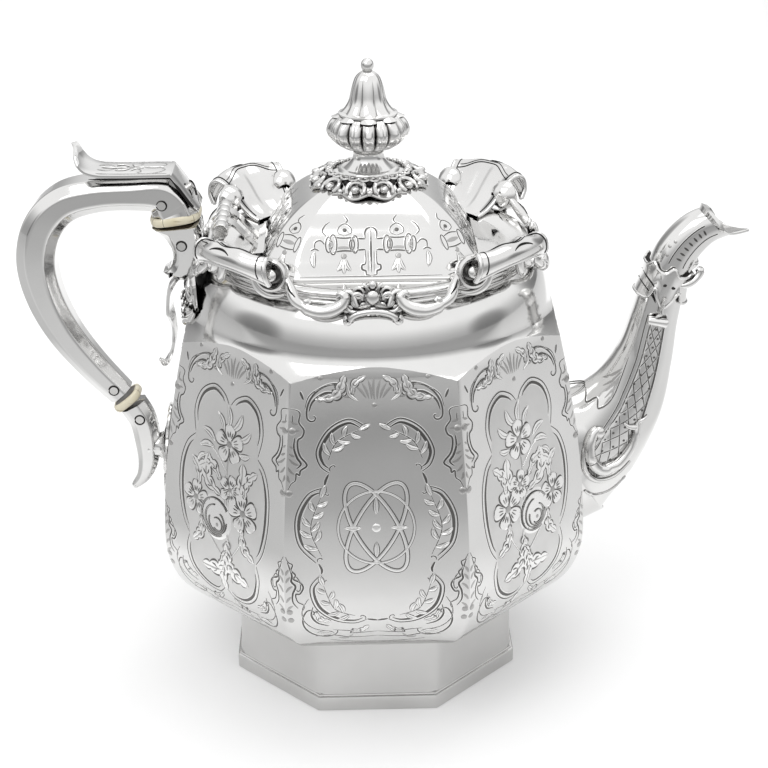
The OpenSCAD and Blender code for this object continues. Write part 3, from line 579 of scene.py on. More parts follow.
class Chaser(Shape):
    """Cuts and raised leaves laid on a surface. Material numbers: 0 dark, 1 bright, 2 shading, 3 matted."""

    def __init__(self, surface, mirror=True):
        super().__init__()
        self.surface, self.mirror = surface, mirror

    def stroke(self, path, width, profile=CUT, mirror=None):
        path = np.asarray(path, float)
        width = np.broadcast_to(np.asarray(width, float), len(path)) * (BOLD if profile is CUT else 1.0)
        across, height, marks = profile
        flat_sides = (1, -1) if (self.mirror if mirror is None else mirror) else (1,)
        for side in flat_sides:
            q = path * [side, 1]
            t = np.gradient(q, axis=0)
            t /= np.linalg.norm(t, axis=1)[:, None] + 1e-12
            n = np.stack([-t[:, 1], t[:, 0]], 1)
            columns = []
            for f, h in zip(across, height):
                pos, out = self.surface(q + n * (f * width)[:, None])
                columns.append(pos + out * (h * np.minimum(1, width / 0.6))[:, None])
            p = np.stack(columns, 1)
            self.grid(p, mark=marks, flip=self.faces_in(q, n))

    def faces_in(self, q, n):
        a, out = self.surface(q[:1])
        b, _ = self.surface(q[1:2])
        c, _ = self.surface(q[:1] + n[:1] * 0.2)
        return float(np.dot(np.cross((b - a)[0], (c - a)[0]), out[0])) < 0

    def line(self, points, thick, thin=0.18, n=None, mirror=None):
        path = spline(points, n or 6 * len(points))
        self.stroke(path, swell(len(path), thin, thick, 0.6), mirror=mirror)

    def scroll(self, start, end, turns, thick=0.75, mirror=None):
        path = curl(start, end, turns)
        self.stroke(path, swell(len(path), 0.25, thick, 0.7), mirror=mirror)
        return path

    def leaf(self, root, tip, width, bend=0.0, profile=LEAF, mirror=None, n=9, blunt=1.0):
        root, tip = np.array(root, float), np.array(tip, float)
        d = tip - root
        middle = (root + tip) / 2 + bend * np.array([-d[1], d[0]])
        path = spline([root, middle, tip], n)
        t = np.linspace(0, 1, len(path))
        self.stroke(path, width * np.sin(np.pi * np.clip(t, 0.03, 0.985) ** blunt) ** (0.8 / blunt) + 0.05,
                    profile, mirror)

    def sprig(self, root, bend, tip, leaves, size, mirror=None):
        """A curved stem with pairs of leaves and a bud at its tip."""
        stem = spline([root, bend, tip], 24)
        self.stroke(stem, swell(len(stem), 0.2, 0.45), mirror=mirror)
        for i in range(leaves):
            at = int((0.2 + 0.75 * i / leaves) * 24)
            d = stem[min(at + 1, 24)] - stem[at - 1]
            d = d / (np.linalg.norm(d) + 1e-9)
            side = 1 if i % 2 else -1
            out = 0.72 * d + side * 0.72 * np.array([-d[1], d[0]])
            self.leaf(stem[at], stem[at] + out * size * (1 - 0.3 * i / leaves), size * 0.42, side * 0.12,
                      mirror=mirror)
        d = stem[-1] - stem[-3]
        d = d / np.linalg.norm(d)
        self.leaf(stem[-1], stem[-1] + d * size * 0.9, size * 0.45, mirror=mirror)

    def flower(self, centre, radius, petals, turn=0.0, heart=0.24):
        centre = np.array(centre, float)
        self.disc(centre, radius * 0.62, 0.04, 0)
        for i in range(petals):
            a = turn + 2 * math.pi * i / petals
            d = np.array([math.cos(a), math.sin(a)])
            self.leaf(centre + d * radius * heart * 0.6, centre + d * radius, radius * 0.92, 0.05, PETAL,
                      False, 12, 1.9)
            for fan in (-0.3, 0.0, 0.3):
                b = np.array([math.cos(a + fan), math.sin(a + fan)])
                self.leaf(centre + b * radius * 0.3, centre + b * radius * 0.74, 0.42, 0, VEIN, False, 4)
        self.disc(centre, radius * heart, 0.3, 2)

    def disc(self, centre, radius, height, mark, squash=1.0, n=16):
        a = np.linspace(0, 2 * np.pi, n, endpoint=False)
        rows = []
        for k, lift in ((1.0, 0.0), (0.82, 0.75), (0.4, 1.0), (0.02, 0.9)):
            ring = np.stack([np.cos(a), squash * np.sin(a)], 1)
            pos, out = self.surface(np.array(centre) + radius * k * ring)
            rows.append(pos + out * height * lift)
        p = np.stack(rows, 0)
        normal = np.cross(p[0, 1] - p[0, 0], p[1, 0] - p[0, 0])
        self.grid(p, wrap_v=True, mark=mark, flip=float(np.dot(normal, out[0])) < 0)

    def studs(self, centres, radius, height=0.2, mark=2):
        for x, z in centres:
            for side in (1, -1) if x else (1,):
                self.disc((side * x, z), radius, height, mark)

    def field(self, outline, lift, mark, pitch=1.4):
        """A filled area inside a closed outline, following the surface."""
        ring = [Vector(p) for p in outline]
        xs, ys = zip(*outline)
        inside = []
        loop = np.array(outline)
        nxt = np.roll(loop, -1, axis=0)
        step = nxt - loop
        for x in np.arange(min(xs), max(xs), pitch):
            for y in np.arange(min(ys), max(ys), pitch):
                edge_x = step[:, 0] * (y - loop[:, 1]) / (step[:, 1] + 1e-12) + loop[:, 0]
                crossing = ((loop[:, 1] > y) != (nxt[:, 1] > y)) & (x < edge_x)
                near = np.min(np.hypot(loop[:, 0] - x, loop[:, 1] - y))
                if crossing.sum() % 2 and near > 0.5 * pitch:
                    inside.append(Vector((x, y)))
        n = len(ring)
        verts, _, faces, *_ = delaunay_2d_cdt(ring + inside, [], [list(range(n))], 1, 1e-5)
        q = np.array([tuple(v) for v in verts])
        pos, out = self.surface(q)
        p = pos + out * lift
        f = faces[0]
        turned_in = float(np.dot(np.cross(p[f[1]] - p[f[0]], p[f[2]] - p[f[0]]), out[f[0]])) < 0
        self.add(p, [g[::-1] for g in faces] if turned_in else faces, mark)


# ---------- engraving on the panels ----------
def border(c):
    """Corner scrolls and fan at the top of a panel, and the scroll line along its bottom."""
    c.scroll((20.2, 126.0), (10.6, 133.0), (330, 110, 230), 0.8)
    c.line([(22.9, 128.6), (21.4, 132.8), (17.0, 135.6), (12.5, 136.0), (8.4, 133.6), (7.2, 131.4)], 0.5)
    c.line([(24.4, 134.4), (23.3, 131.6)], 0.9)
    for i, x in enumerate((0.0, 1.5, 3.0, 4.5)):
        c.leaf((x * 0.6, 131.2 + 0.2 * i), (x * 1.35, 138.6 - 0.9 * i), 0.9, 0.05, SHADE, mirror=x > 0)
    c.leaf((5.4, 131.0), (8.8, 136.6), 1.5, -0.2)
    c.leaf((8.2, 132.0), (12.0, 136.8), 1.2, -0.25, SHADE)
    c.line([(21.6, 127.6), (20.2, 131.0), (16.4, 133.6), (13.0, 133.8)], 0.9)
    acanthus_spray(c, (19.4, 131.6), (9.6, 139.4), 4.4, 0.25, 5, True)
    acanthus_spray(c, (7.4, 132.4), (2.8, 139.0), 3.0, -0.2, 3, True)
    c.studs([(17.6, 138.4), (0.01, 129.4)], 0.9)
    c.line([(22.0, 58.4), (22.6, 54.6), (20.6, 51.2), (16.6, 49.6)], 0.9)
    acanthus_spray(c, (21.4, 56.8), (15.8, 51.6), 2.6, 0.2, 3, True)
    acanthus_spray(c, (9.4, 47.2), (3.0, 49.6), 2.4, 0.2, 3, True)
    c.scroll((22.6, 55.2), (14.0, 47.4), (-330, -130, -120), 0.8)
    c.line([(23.4, 61.6), (25.6, 57.4), (25.2, 52.2), (21.4, 48.2), (15.4, 46.6)], 0.5)
    c.line([(15.4, 47.6), (9.5, 46.8), (8.8, 45.6), (0.0, 46.4)], 0.6)
    c.line([(21.8, 44.0), (15.5, 44.6), (9.0, 43.2), (0.0, 43.8)], 0.6)
    c.line([(16.4, 41.6), (8.0, 40.2), (0.0, 40.0)], 0.45)
    c.leaf((14.6, 45.2), (21.0, 45.8), 1.4, 0.15)
    c.leaf((8.6, 44.6), (13.6, 42.8), 1.2, -0.2, SHADE)


def pendants(c):
    """Strapwork that hangs over the panels' corners, half of it on each panel."""
    def edge(points):
        return [(float(panel_half(z)) * TAN_PANEL - 0.25 - d, z) for d, z in points]
    c.line(edge([(0.1, 128.6), (2.3, 128.2), (3.4, 127.0), (3.2, 124.2), (5.0, 121.6), (4.6, 119.4),
                 (3.2, 118.2),
                 (3.4, 115.0), (4.4, 112.6), (6.6, 109.8), (4.6, 108.0), (4.3, 106.4), (3.2, 107.0),
                 (3.0, 104.6),
                 (1.6, 103.4), (0.2, 100.2)]), 0.75, n=70)
    c.line(edge([(1.0, 126.6), (1.1, 123.8)]), 0.4)
    for z, d in ((109.6, 4.2), (106.6, 2.6), (103.8, 1.2)):
        c.leaf(edge([(0.4, z + 2.6)])[0], edge([(d, z)])[0], 0.8, 0.1, SHADE)
    c.line(edge([(2.2, 119.4), (2.0, 115.8), (3.2, 112.4), (4.6, 110.2), (3.2, 108.6)]), 0.9)
    for z, d in ((124.6, 3.0), (122.4, 3.8), (116.4, 2.6), (113.8, 2.8)):
        c.leaf(edge([(0.5, z)])[0], edge([(d, z - 1.0)])[0], 0.8, 0.1, SHADE)
    c.studs(edge([(1.2, 121.2), (1.0, 100.0)]), 1.3, 0.25)
    c.line(edge([(0.2, 77.6), (1.2, 75.6), (2.6, 74.6), (2.2, 72.6), (3.6, 70.8), (3.0, 69.2), (5.2, 68.0),
                 (6.2, 66.0),
                 (5.0, 63.6), (3.6, 63.4), (4.2, 60.6), (6.4, 58.8), (5.2, 56.0)]), 0.75, n=60)
    c.scroll(edge([(3.2, 69.6)])[0], edge([(4.2, 65.2)])[0], (250, 60, 250), 0.5)
    for z, d in ((73.0, 1.6), (70.2, 2.2), (66.6, 2.6), (62.6, 2.4), (59.0, 2.6)):
        c.leaf(edge([(0.3, z - 2.4)])[0], edge([(d, z)])[0], 0.9, -0.1, SHADE)
    c.line(edge([(0.8, 75.8), (1.6, 73.4), (2.4, 70.6), (2.2, 68.4), (3.6, 66.4), (2.6, 63.6), (2.6, 60.4),
                 (4.2, 57.8)]), 0.9)
    c.studs(edge([(1.2, 52.6), (1.2, 56.2)]), 1.1)


# Right-hand lobes of the two cartouches, from the top down
OPEN_LOBES = [[(3.0, 122.4), (8.6, 125.0), (15.4, 121.6), (19.4, 114.8), (18.4, 109.6), (15.4, 107.0)],
              [(17.2, 102.0), (22.8, 99.6), (27.0, 91.4), (26.2, 81.8), (20.6, 75.2)],
              [(19.2, 70.6), (22.8, 65.6), (20.8, 57.6), (14.6, 52.2), (8.0, 50.8), (3.8, 52.4)]]
CLOSED_LOBES = [[(0.4, 122.0), (3.4, 125.4), (8.8, 127.2), (14.8, 123.6), (17.4, 116.4), (16.0, 108.4)],
                [(16.0, 107.6), (20.2, 103.4), (22.8, 95.4), (22.9, 84.6), (20.8, 75.0), (17.6, 69.6)],
                [(17.6, 68.8), (19.0, 63.0), (16.6, 55.6), (10.6, 50.6), (4.4, 50.0), (0.4, 53.4)]]


def lobes(c, shapes, inner, ends):
    for points in shapes:
        outer = spline(points, 40)
        c.stroke(outer, swell(len(outer), 0.30, 0.62, 0.5))
        near = side_shift(outer, -inner)[ends:len(outer) - ends]
        c.stroke(near, swell(len(near), 0.25, 1.35, 0.8))


def front_panel(c):
    lobes(c, OPEN_LOBES, 1.3, 2)
    for a, b, turn in (((15.0, 107.6), (13.6, 109.0), 200), ((17.0, 101.4), (15.8, 99.8), -200),
                       ((20.0, 75.6), (18.6, 76.4), 200), ((18.6, 70.4), (17.4, 68.8), -200),
                       ((4.2, 52.6), (5.6, 53.8), -200)):
        c.scroll(a, b, (turn / 3, turn / 2, turn), 0.45)
    for p in ([(15.6, 106.6), (16.6, 104.4), (17.0, 102.6)], [(19.6, 74.8), (18.6, 72.6), (18.8, 71.0)],
              [(3.6, 52.6), (0.0, 52.0)]):
        c.line(p, 1.0)
    c.sprig((15.6, 111.4), (12.6, 117.4), (5.2, 121.4), 6, 4.6)
    c.sprig((18.6, 77.6), (22.0, 87.6), (18.4, 98.6), 8, 5.0)
    c.sprig((7.6, 54.2), (14.6, 57.4), (18.2, 66.6), 7, 4.6)
    knot(c)


def knot(c):
    """A plain interlaced knot of three rings in the middle of the front panel."""
    t = np.linspace(0, 2 * np.pi, 97)
    for lean in (-0.5, 0.5):
        x, y = 7.0 * np.cos(t), 17.5 * np.sin(t)
        path = np.stack([x * math.cos(lean) - y * math.sin(lean),
                         87.5 + x * math.sin(lean) + y * math.cos(lean)], 1)
        c.stroke(path, 1.7, STRAP, False)
    c.stroke(np.stack([12.8 * np.cos(t), 87.5 + 12.8 * np.sin(t)], 1), 1.1, STRAP, False)
    for a in (0, 90, 180, 270):
        s, k = math.sin(math.radians(a)), math.cos(math.radians(a))
        c.leaf((5.0 * k, 87.5 + 5.0 * s), (10.6 * k, 87.5 + 10.6 * s), 2.2, 0, LEAF, False)
    c.disc((0, 87.5), 1.5, 0.25, 1)


def bloom(c, centre, radius, turn):
    """A ball-shaped rose: layers of petal edges round a dark heart."""
    c.disc(centre, radius * 1.08, 0.05, 0, 1.05, 28)
    c.disc(centre, radius, 0.34, 1, 1.05, 28)
    for i, r in enumerate((0.86, 0.66, 0.48, 0.30)):
        t = np.linspace(turn + 1.1 * i, turn + 1.1 * i + 4.6, 26)
        drift = 0.10 * i * radius
        c.stroke(np.stack([centre[0] + r * radius * np.cos(t) + drift * 0.5,
                           centre[1] + r * radius * np.sin(t) - drift], 1), 0.6, ROSE_CUT, False)
    for k in range(9):
        b = turn + 0.5 * k
        d = np.array([math.cos(b), math.sin(b)])
        c.leaf(np.array(centre) + d * radius * 0.70, np.array(centre) + d * radius * 0.92, 0.3, 0, ROSE_CUT,
               False, 4)
    c.disc((centre[0] + 0.14 * radius, centre[1] - 0.32 * radius), radius * 0.12, 0.42, 2)


def acanthus_spray(c, root, tip, width, bend, teeth=5, mirror=False):
    """A broad leaf with a scalloped edge, a rib, and a dark vein to each lobe."""
    root, tip = np.array(root, float), np.array(tip, float)
    d = tip - root
    rib = spline([root, (root + tip) / 2 + bend * np.array([-d[1], d[0]]), tip], 8 * teeth)
    t = np.linspace(0, 1, len(rib))
    scallop = 1 - 0.42 * (1 - np.abs(np.sin(teeth * np.pi * t))) ** 1.6
    c.stroke(rib, width * np.sin(np.pi * np.clip(t, 0.04, 0.985) ** 1.25) ** 0.7 * scallop + 0.05, LEAF,
             mirror)
    for i in range(teeth - 1):
        at = int(8 * (i + 0.35))
        f = rib[at + 1] - rib[at]
        f = f / np.linalg.norm(f)
        for side in (1, -1):
            out = 0.85 * f + side * 0.52 * np.array([-f[1], f[0]])
            c.leaf(rib[at], rib[at] + out * width * 0.42, 0.36, side * 0.15, VEIN, mirror, 4)


def flower_panel(c, side):
    """Cartouche with a matted ground and a bright spray of flowers; side turns the spray over."""
    right = np.concatenate([side_shift(spline(p, 28), -1.9)[3:-3] for p in CLOSED_LOBES])
    outline = np.concatenate([right, (right * [-1, 1])[::-1]])
    c.field([tuple(p) for p in outline], 0.02, 3)
    lobes(c, CLOSED_LOBES, 1.6, 4)
    s = side
    for points, thick in (([(-4.6, 57.0), (-3.0, 70.0), (-1.0, 90.0), (-1.4, 104.0)], 1.3),
                          ([(-3.6, 63.0), (4.0, 70.0), (12.0, 79.0)], 0.9),
                          ([(-3.4, 66.0), (-9.0, 74.0), (-11.0, 82.0)], 0.9),
                          ([(-1.4, 98.0), (5.0, 104.0), (10.4, 106.4)], 0.8)):
        path = spline([(s * x, z) for x, z in points], 26)
        c.stroke(path, swell(len(path), 0.3, thick), LEAF, False)
    for x, z, x2, z2, w, bend, teeth in ((-1.0, 90.0, -9.0, 104.0, 6.4, 0.25, 4),
                                         (0.4, 89.0, 8.4, 103.0, 6.4, -0.3, 4),
                                         (1.2, 94.0, 13.6, 96.6, 5.0, 0.35, 4),
                                         (-3.0, 74.0, -13.0, 59.0, 7.4, 0.30, 5),
                                         (-2.0, 73.0, 11.0, 60.0, 7.6, -0.35, 5),
                                         (-2.8, 70.0, -0.4, 52.6, 5.6, 0.1, 4),
                                         (-10.0, 81.0, -16.2, 69.6, 5.0, 0.2, 4),
                                         (11.0, 79.4, 15.4, 68.0, 5.0, -0.2, 4),
                                         (-11.0, 91.0, -16.2, 102.4, 4.8, -0.2, 4),
                                         (13.0, 89.0, 16.8, 99.4, 4.4, 0.2, 3)):
        acanthus_spray(c, (s * x, z), (s * x2, z2), w, s * bend, teeth)
    for x, z, x2, z2, w in ((-2.6, 113.6, -6.8, 120.6, 3.0), (-0.6, 114.0, 0.8, 122.0, 2.8),
                            (1.6, 112.6, 5.4, 118.4, 2.6), (-6.2, 111.0, -11.6, 115.4, 2.8),
                            (5.6, 107.6, 12.4, 111.0, 3.0), (6.0, 105.6, 13.4, 104.4, 2.8),
                            (-6.6, 106.4, -12.0, 107.4, 2.6), (9.6, 102.0, 14.2, 98.4, 2.2)):
        c.leaf((s * x, z), (s * x2, z2), w, 0.12 * s, LEAF, False)
    for x, z, r, petals, turn in ((-1.6, 108.6, 6.8, 5, 0.3), (-3.4, 92.6, 5.2, 5, 0.0),
                                  (-10.4, 86.0, 7.2, 5, 0.5), (14.0, 84.6, 6.2, 5, 0.2)):
        c.flower((s * x, z), r, petals, turn)
    bloom(c, (s * 3.6, 80.4), 8.2, 0.6)


def side_panel(c):
    """Scrolls beside the spout and behind the handle."""
    for z in (112.0, 92.0, 72.0):
        c.scroll((22.6, z + 5), (23.0, z - 5), (250, 120, 250), 0.7)
        c.sprig((19.6, z - 4), (18.4, z), (20.4, z + 5), 4, 2.6)


def make_engraving():
    for k in range(8):
        c = Chaser(panel_surface(k))
        border(c)
        pendants(c)
        if k in (2, 6):
            front_panel(c)
        elif k in (0, 4):
            side_panel(c)
        else:
            flower_panel(c, -1 if k in (5, 3) else 1)
        c.build("engraving_panel_%d" % k, "pot", CUT_FINISH, "engraved_silver")


# ---------- engraving on the lid ----------
def lid_surface(face):
    """Face of the dome, 0 to 7, even ones broad: (sideways, up the face) to a point and the way out."""
    column = face % 2
    half_at, z_at = LID_CURVE[:, column], LID_CURVE[:, 2]
    reach = np.concatenate([[0], np.cumsum(np.hypot(np.diff(half_at), np.diff(z_at)))])
    a = math.radians(45 * face)
    n, t = np.array([math.cos(a), math.sin(a), 0]), np.array([-math.sin(a), math.cos(a), 0])
    drop, rise = np.gradient(half_at), np.gradient(z_at)

    def surface(p):
        half, z, d, u = (np.interp(p[:, 1], reach, v) for v in (half_at, z_at, drop, rise))
        pos = half[:, None] * n + p[:, :1] * t + z[:, None] * [0, 0, 1]
        out = u[:, None] * n - d[:, None] * [0, 0, 1]
        return pos, out / np.linalg.norm(out, axis=1)[:, None]
    return surface


def trefoil(c, x):
    c.line([(x, 14.8), (x - 2.2, 15.8), (x - 2.0, 17.8), (x, 19.2), (x + 2.0, 17.8), (x + 2.2, 15.8),
            (x, 14.8)], 0.55, n=40)
    c.line([(x - 0.2, 19.2), (x - 1.0, 20.6), (x + 0.2, 22.6)], 0.6)
    c.leaf((x - 1.4, 15.6), (x - 0.4, 17.2), 0.6, 0, SHADE)
    c.studs([(x, 16.8)], 0.75, 0.22, 0)


def tassel(c, x):
    for tip in (-2.4, 0.0, 2.4):
        c.leaf((x + 0.2 * tip, 7.0), (x + tip, 1.6 + 0.45 * abs(tip)), 1.9, -0.06 * tip)
    c.studs([(x, 7.8)], 1.0, 0.3)


def make_lid_engraving():
    """Strapwork on each broad face: upright strap, rolled bars, trefoils above and tassels below."""
    t = np.linspace(0, 2 * np.pi, 29)
    for face in range(8):
        c = Chaser(lid_surface(face))
        c.line([(0.0, 0.7), (4.0, 0.7), (8.0 if face % 2 else 24.0, 0.8)], 0.45)
        if face % 2:
            c.mirror = False
            trefoil(c, 0.01)
            c.line([(-3.4, 13.6), (0, 14.2), (3.4, 13.6)], 0.6)
            c.line([(-3.8, 9.6), (0, 9.2), (3.8, 9.6)], 0.6)
            c.leaf((-3.0, 11.6), (3.0, 11.6), 1.5, 0, SHADE)
            for x in (-4.2, 4.2):
                c.stroke(np.stack([x + 1.0 * np.cos(t), 11.6 + 2.7 * np.sin(t)], 1), 0.55)
            tassel(c, 0.01)
        else:
            c.line([(0.0, 17.8), (1.3, 17.2), (2.0, 15.8), (1.9, 13.8)], 0.8, n=24)
            c.line([(1.9, 9.8), (1.9, 5.4), (3.1, 4.6), (3.1, 3.2), (1.9, 2.6), (1.7, 1.4), (0, 1.1)], 0.8,
                   n=40)
            c.leaf((0, 2.0), (0, 16.8), 0.8, 0, CUT, False)
            c.leaf((1.0, 2.4), (1.0, 9.6), 0.7, 0, SHADE)
            for z in (13.6, 10.0):
                c.line([(1.9, z), (4.8, z + 0.1 * (z - 11.8))], 0.75)
                c.line([(5.2, 11.8 + (z - 11.8) * 1.35), (9.0, 11.8 + (z - 11.8) * 1.2),
                        (12.8, 11.8 + (z - 11.8) * 1.4)], 0.75)
            c.leaf((6.8, 10.6), (12.0, 10.6), 1.2, 0, SHADE)
            for x, w, h in ((5.4, 1.1, 3.0), (6.4, 0.8, 1.9), (12.8, 1.3, 3.4), (14.3, 1.0, 2.6),
                            (13.4, 0.5, 1.2)):
                c.stroke(np.stack([x + w * np.cos(t), 11.8 + h * np.sin(t)], 1), 0.6)
            trefoil(c, 8.8)
            tassel(c, 9.2)
            c.line([(15.4, 11.6), (17.0, 13.2), (18.8, 12.6), (19.0, 10.2)], 0.65)
            c.line([(17.6, 9.8), (19.0, 10.4), (20.4, 9.8)], 0.6)
            c.leaf((19.0, 9.6), (19.2, 3.8), 2.0, 0.1)
            c.line([(15.0, 14.6), (16.4, 16.4), (15.4, 18.6), (13.8, 20.0)], 0.65)
        c.build("lid_engraving_%d" % face, "lid", CUT_FINISH, "engraved_silver")


# ---------- rim castings ----------
EYE = np.array([33.0, 53.0, 170.0])
SHELL_HALF_ANGLE = 14.0
EYE_AXIS = np.array([0.2366, 0.9490, 0.2079])


def make_volutes():
    axis = EYE_AXIS / np.linalg.norm(EYE_AXIS)
    right = np.cross(axis, [0, 0, 1])
    right /= np.linalg.norm(right)
    up = np.cross(right, axis)
    frame_axes = [right, up, axis]

    def at(x, y, out):
        return EYE + x * right + y * up + out * axis
    one = Shape()
    turn = np.linspace(0, 2 * np.pi, 44, endpoint=False)
    profile = [(2.6, -6.2), (4.4, -5.0), (5.3, -3.2), (5.6, -1.2), (5.6, 0.3), (5.2, 1.2), (4.6, 1.5),
               (4.0, 1.2),
               (3.6, 0.3), (3.3, -1.2), (2.9, -2.2), (0.02, -2.4)]
    cup = np.array([[at(q * math.cos(b), q * math.sin(b), o) for b in turn] for q, o in profile])
    one.grid(cup, wrap_v=True)
    # the cup's inner floor takes the darker inside silver: painted shade in its hollow
    hollow = 3 * len(turn)
    one.marks[-hollow:] = [1] * hollow
    one.ball(at(0, 0, 0.9), (2.3, 2.3, 1.8), axes=frame_axes)
    one.tube([at(0, 0, -2.4), at(0, 0, 0.6)], [1.3, 1.3], 12, up=right)
    t = np.linspace(0, 1, 40)
    wrap = np.array([at(-(5.9 + 1.5 * ti) * math.cos(2.3 + 2.9 * ti),
                        (5.9 + 1.5 * ti) * math.sin(2.3 + 2.9 * ti), -1.4 - 2.2 * ti) for ti in t])
    one.tube(wrap, 0.5 + 1.1 * np.sin(np.pi * t) ** 0.8, 10)
    shape = Shape()
    shape.take(one, EIGHT_SCROLLS)
    shape.build("rim_volute_finish", "pot", [CAST, SHADED_INSIDE], "cast_silver", ["rim_volutes"])


def make_rods():
    """Smooth scrolls from each volute down to the casting at the middle of the side."""
    one = Shape()
    fall = spline([EYE + [-4.6, 0.2, -0.6], EYE + [-6.2, 2.6, -3.6], (25.4, 58.0, 163.2),
                   (22.4, 59.4, 161.4), (20.6, 59.6, 162.6), (21.4, 59.4, 164.0)], 50)
    one.tube(fall, np.interp(np.linspace(0, 1, 51), [0, 0.3, 0.6, 0.85, 1], [1.2, 1.9, 1.5, 0.8, 0.5]), 14)
    sweep = spline([(24.4, 58.6, 163.0), (21.4, 59.8, 160.8), (17.4, 60.6, 159.8), (13.2, 60.6, 160.4),
                    (10.2, 60.2, 162.0), (9.0, 59.8, 164.2),
                    (10.4, 59.4, 165.4), (11.8, 59.4, 164.4)], 60)
    one.tube(sweep, np.interp(np.linspace(0, 1, 61), [0, 0.15, 0.4, 0.8, 1], [0.8, 1.9, 2.3, 1.5, 0.7]), 16)
    # a dark line of painted shade along the crease
    crease = spline([EYE + [-5.2, 2.6, -1.4], (27.0, 57.8, 166.4), (25.2, 59.2, 164.6)], 20)
    one.tube(crease, swell(21, 0.1, 0.35), 6, mark=1)
    one.ball((21.7, 59.9, 163.1), (1.0, 0.7, 1.0), n=10)
    shape = Shape()
    shape.take(one, EIGHT_SCROLLS)
    shape.build("rim_rod_finish", "pot", [CAST, OXIDE_AND_PAINTED_SHADE], "cast_silver", ["rim_scrolls"])


def spiral(centre, start_radius, end_radius, turns, start_angle, n=30):
    t = np.linspace(0, 1, n)
    r = start_radius + (end_radius - start_radius) * t
    a = start_angle + turns * 2 * np.pi * t
    return np.stack([centre[0] + r * np.cos(a), centre[1] + r * np.sin(a)], 1)


def make_cartouches():
    """Pierced casting at the middle of the front, back and spout side, drawn on the +Y side."""
    tilt = math.radians(8)

    def place(p, out=0.0):
        p = np.asarray(p, float)
        x, h = p[..., 0], p[..., 1]
        y = RIM_R + 0.2 + out - h * math.sin(tilt) * 0.9 - 0.012 * x**2
        return np.stack([x, y, 161.8 + h * math.cos(tilt)], -1)
    one = Shape()
    for s in (1, -1):
        flip = np.array([s, 1])
        arch = np.concatenate([spiral((4.6, 1.6), 1.1, 2.6, -0.75, 3.4, 20),
                               bezier((6.6, 3.2), (8.4, 4.6), (10.0, 3.0), (11.8, 2.4), 12)])
        one.tube(place(arch * flip, 1.0), swell(len(arch), 0.55, 1.05), 10)
        one.tube(place(spiral((4.5, 3.6), 1.7, 1.7, 1.0, 0.0, 24) * flip, 0.9), 0.55, 8)
        # dark flat ball in the spiral's eye: painted shade for the pierced opening
        one.ball(place((4.5 * s, 3.6), -0.1), (1.35, 0.5, 1.35), mark=1)
        low = bezier((2.0, -2.0), (5.4, -3.4), (7.6, -3.2), (8.6, -0.8), 16)
        one.tube(place(low * flip, 1.6), swell(17, 0.5, 1.0), 10)
        one.tube(place(spiral((8.0, -1.4), 1.5, 0.5, -1.2, 0.4, 22) * flip, 1.7), 0.55, 8)
        for root, tip, w in (((1.0, 4.6), (3.4, 7.0), 0.9), ((7.0, 0.8), (10.8, 0.2), 0.9),
                             ((2.4, 0.4), (4.4, -1.0), 0.7)):
            leaf = place(spline([np.array(root), (np.array(root) + tip) / 2 + [0.2, 0.5], np.array(tip)],
                                10) * flip, 1.2)
            one.tube(leaf, w * np.sin(np.pi * np.linspace(0.1, 0.96, 11)), 8, squash=0.7)
    one.ball(place((0, 2.0), 1.2), (2.3, 1.5, 2.6), n=16)
    one.ball(place((0, 6.0), 0.6), (1.3, 1.0, 1.5), n=12)
    one.ball(place((0, -1.6), 1.6), (1.2, 1.0, 0.9), n=12)
    plate = np.array([[place((x, h), 0.0) for h in np.linspace(-2.4, 4.8 - 0.018 * x * x, 8)]
                      for x in np.linspace(-12, 12, 33)])
    one.grid(plate, flip=False)
    one.grid(plate - [0, 1.2, 0], flip=True)
    path = bezier((-7.5, 60.6, 157.0), (-6, 61.7, 160.8), (6, 61.7, 160.8), (7.5, 60.6, 157.0), 24)
    one.tube(path, 0.9 + 0.4 * (np.linspace(-1, 1, 25)) ** 2, 10)
    for s in (1, -1):
        curl_end = np.array([[7.5 * s + s * 1.5 * (math.cos(a) - 1) * -0.6, 60.6 + 0.1 * a,
                              157.0 - 1.3 * math.sin(a)] for a in np.linspace(0, 4.6, 18)])
        one.tube(curl_end, 0.75, 8)
    shape = Shape()
    shape.take(one, [(turned(a), ORIGIN) for a in (0, 180, -90)])
    shape.build("rim_cartouche_finish", "pot", [CAST, OXIDE_AND_PAINTED_SHADE], "cast_silver", ["rim_cartouches"])


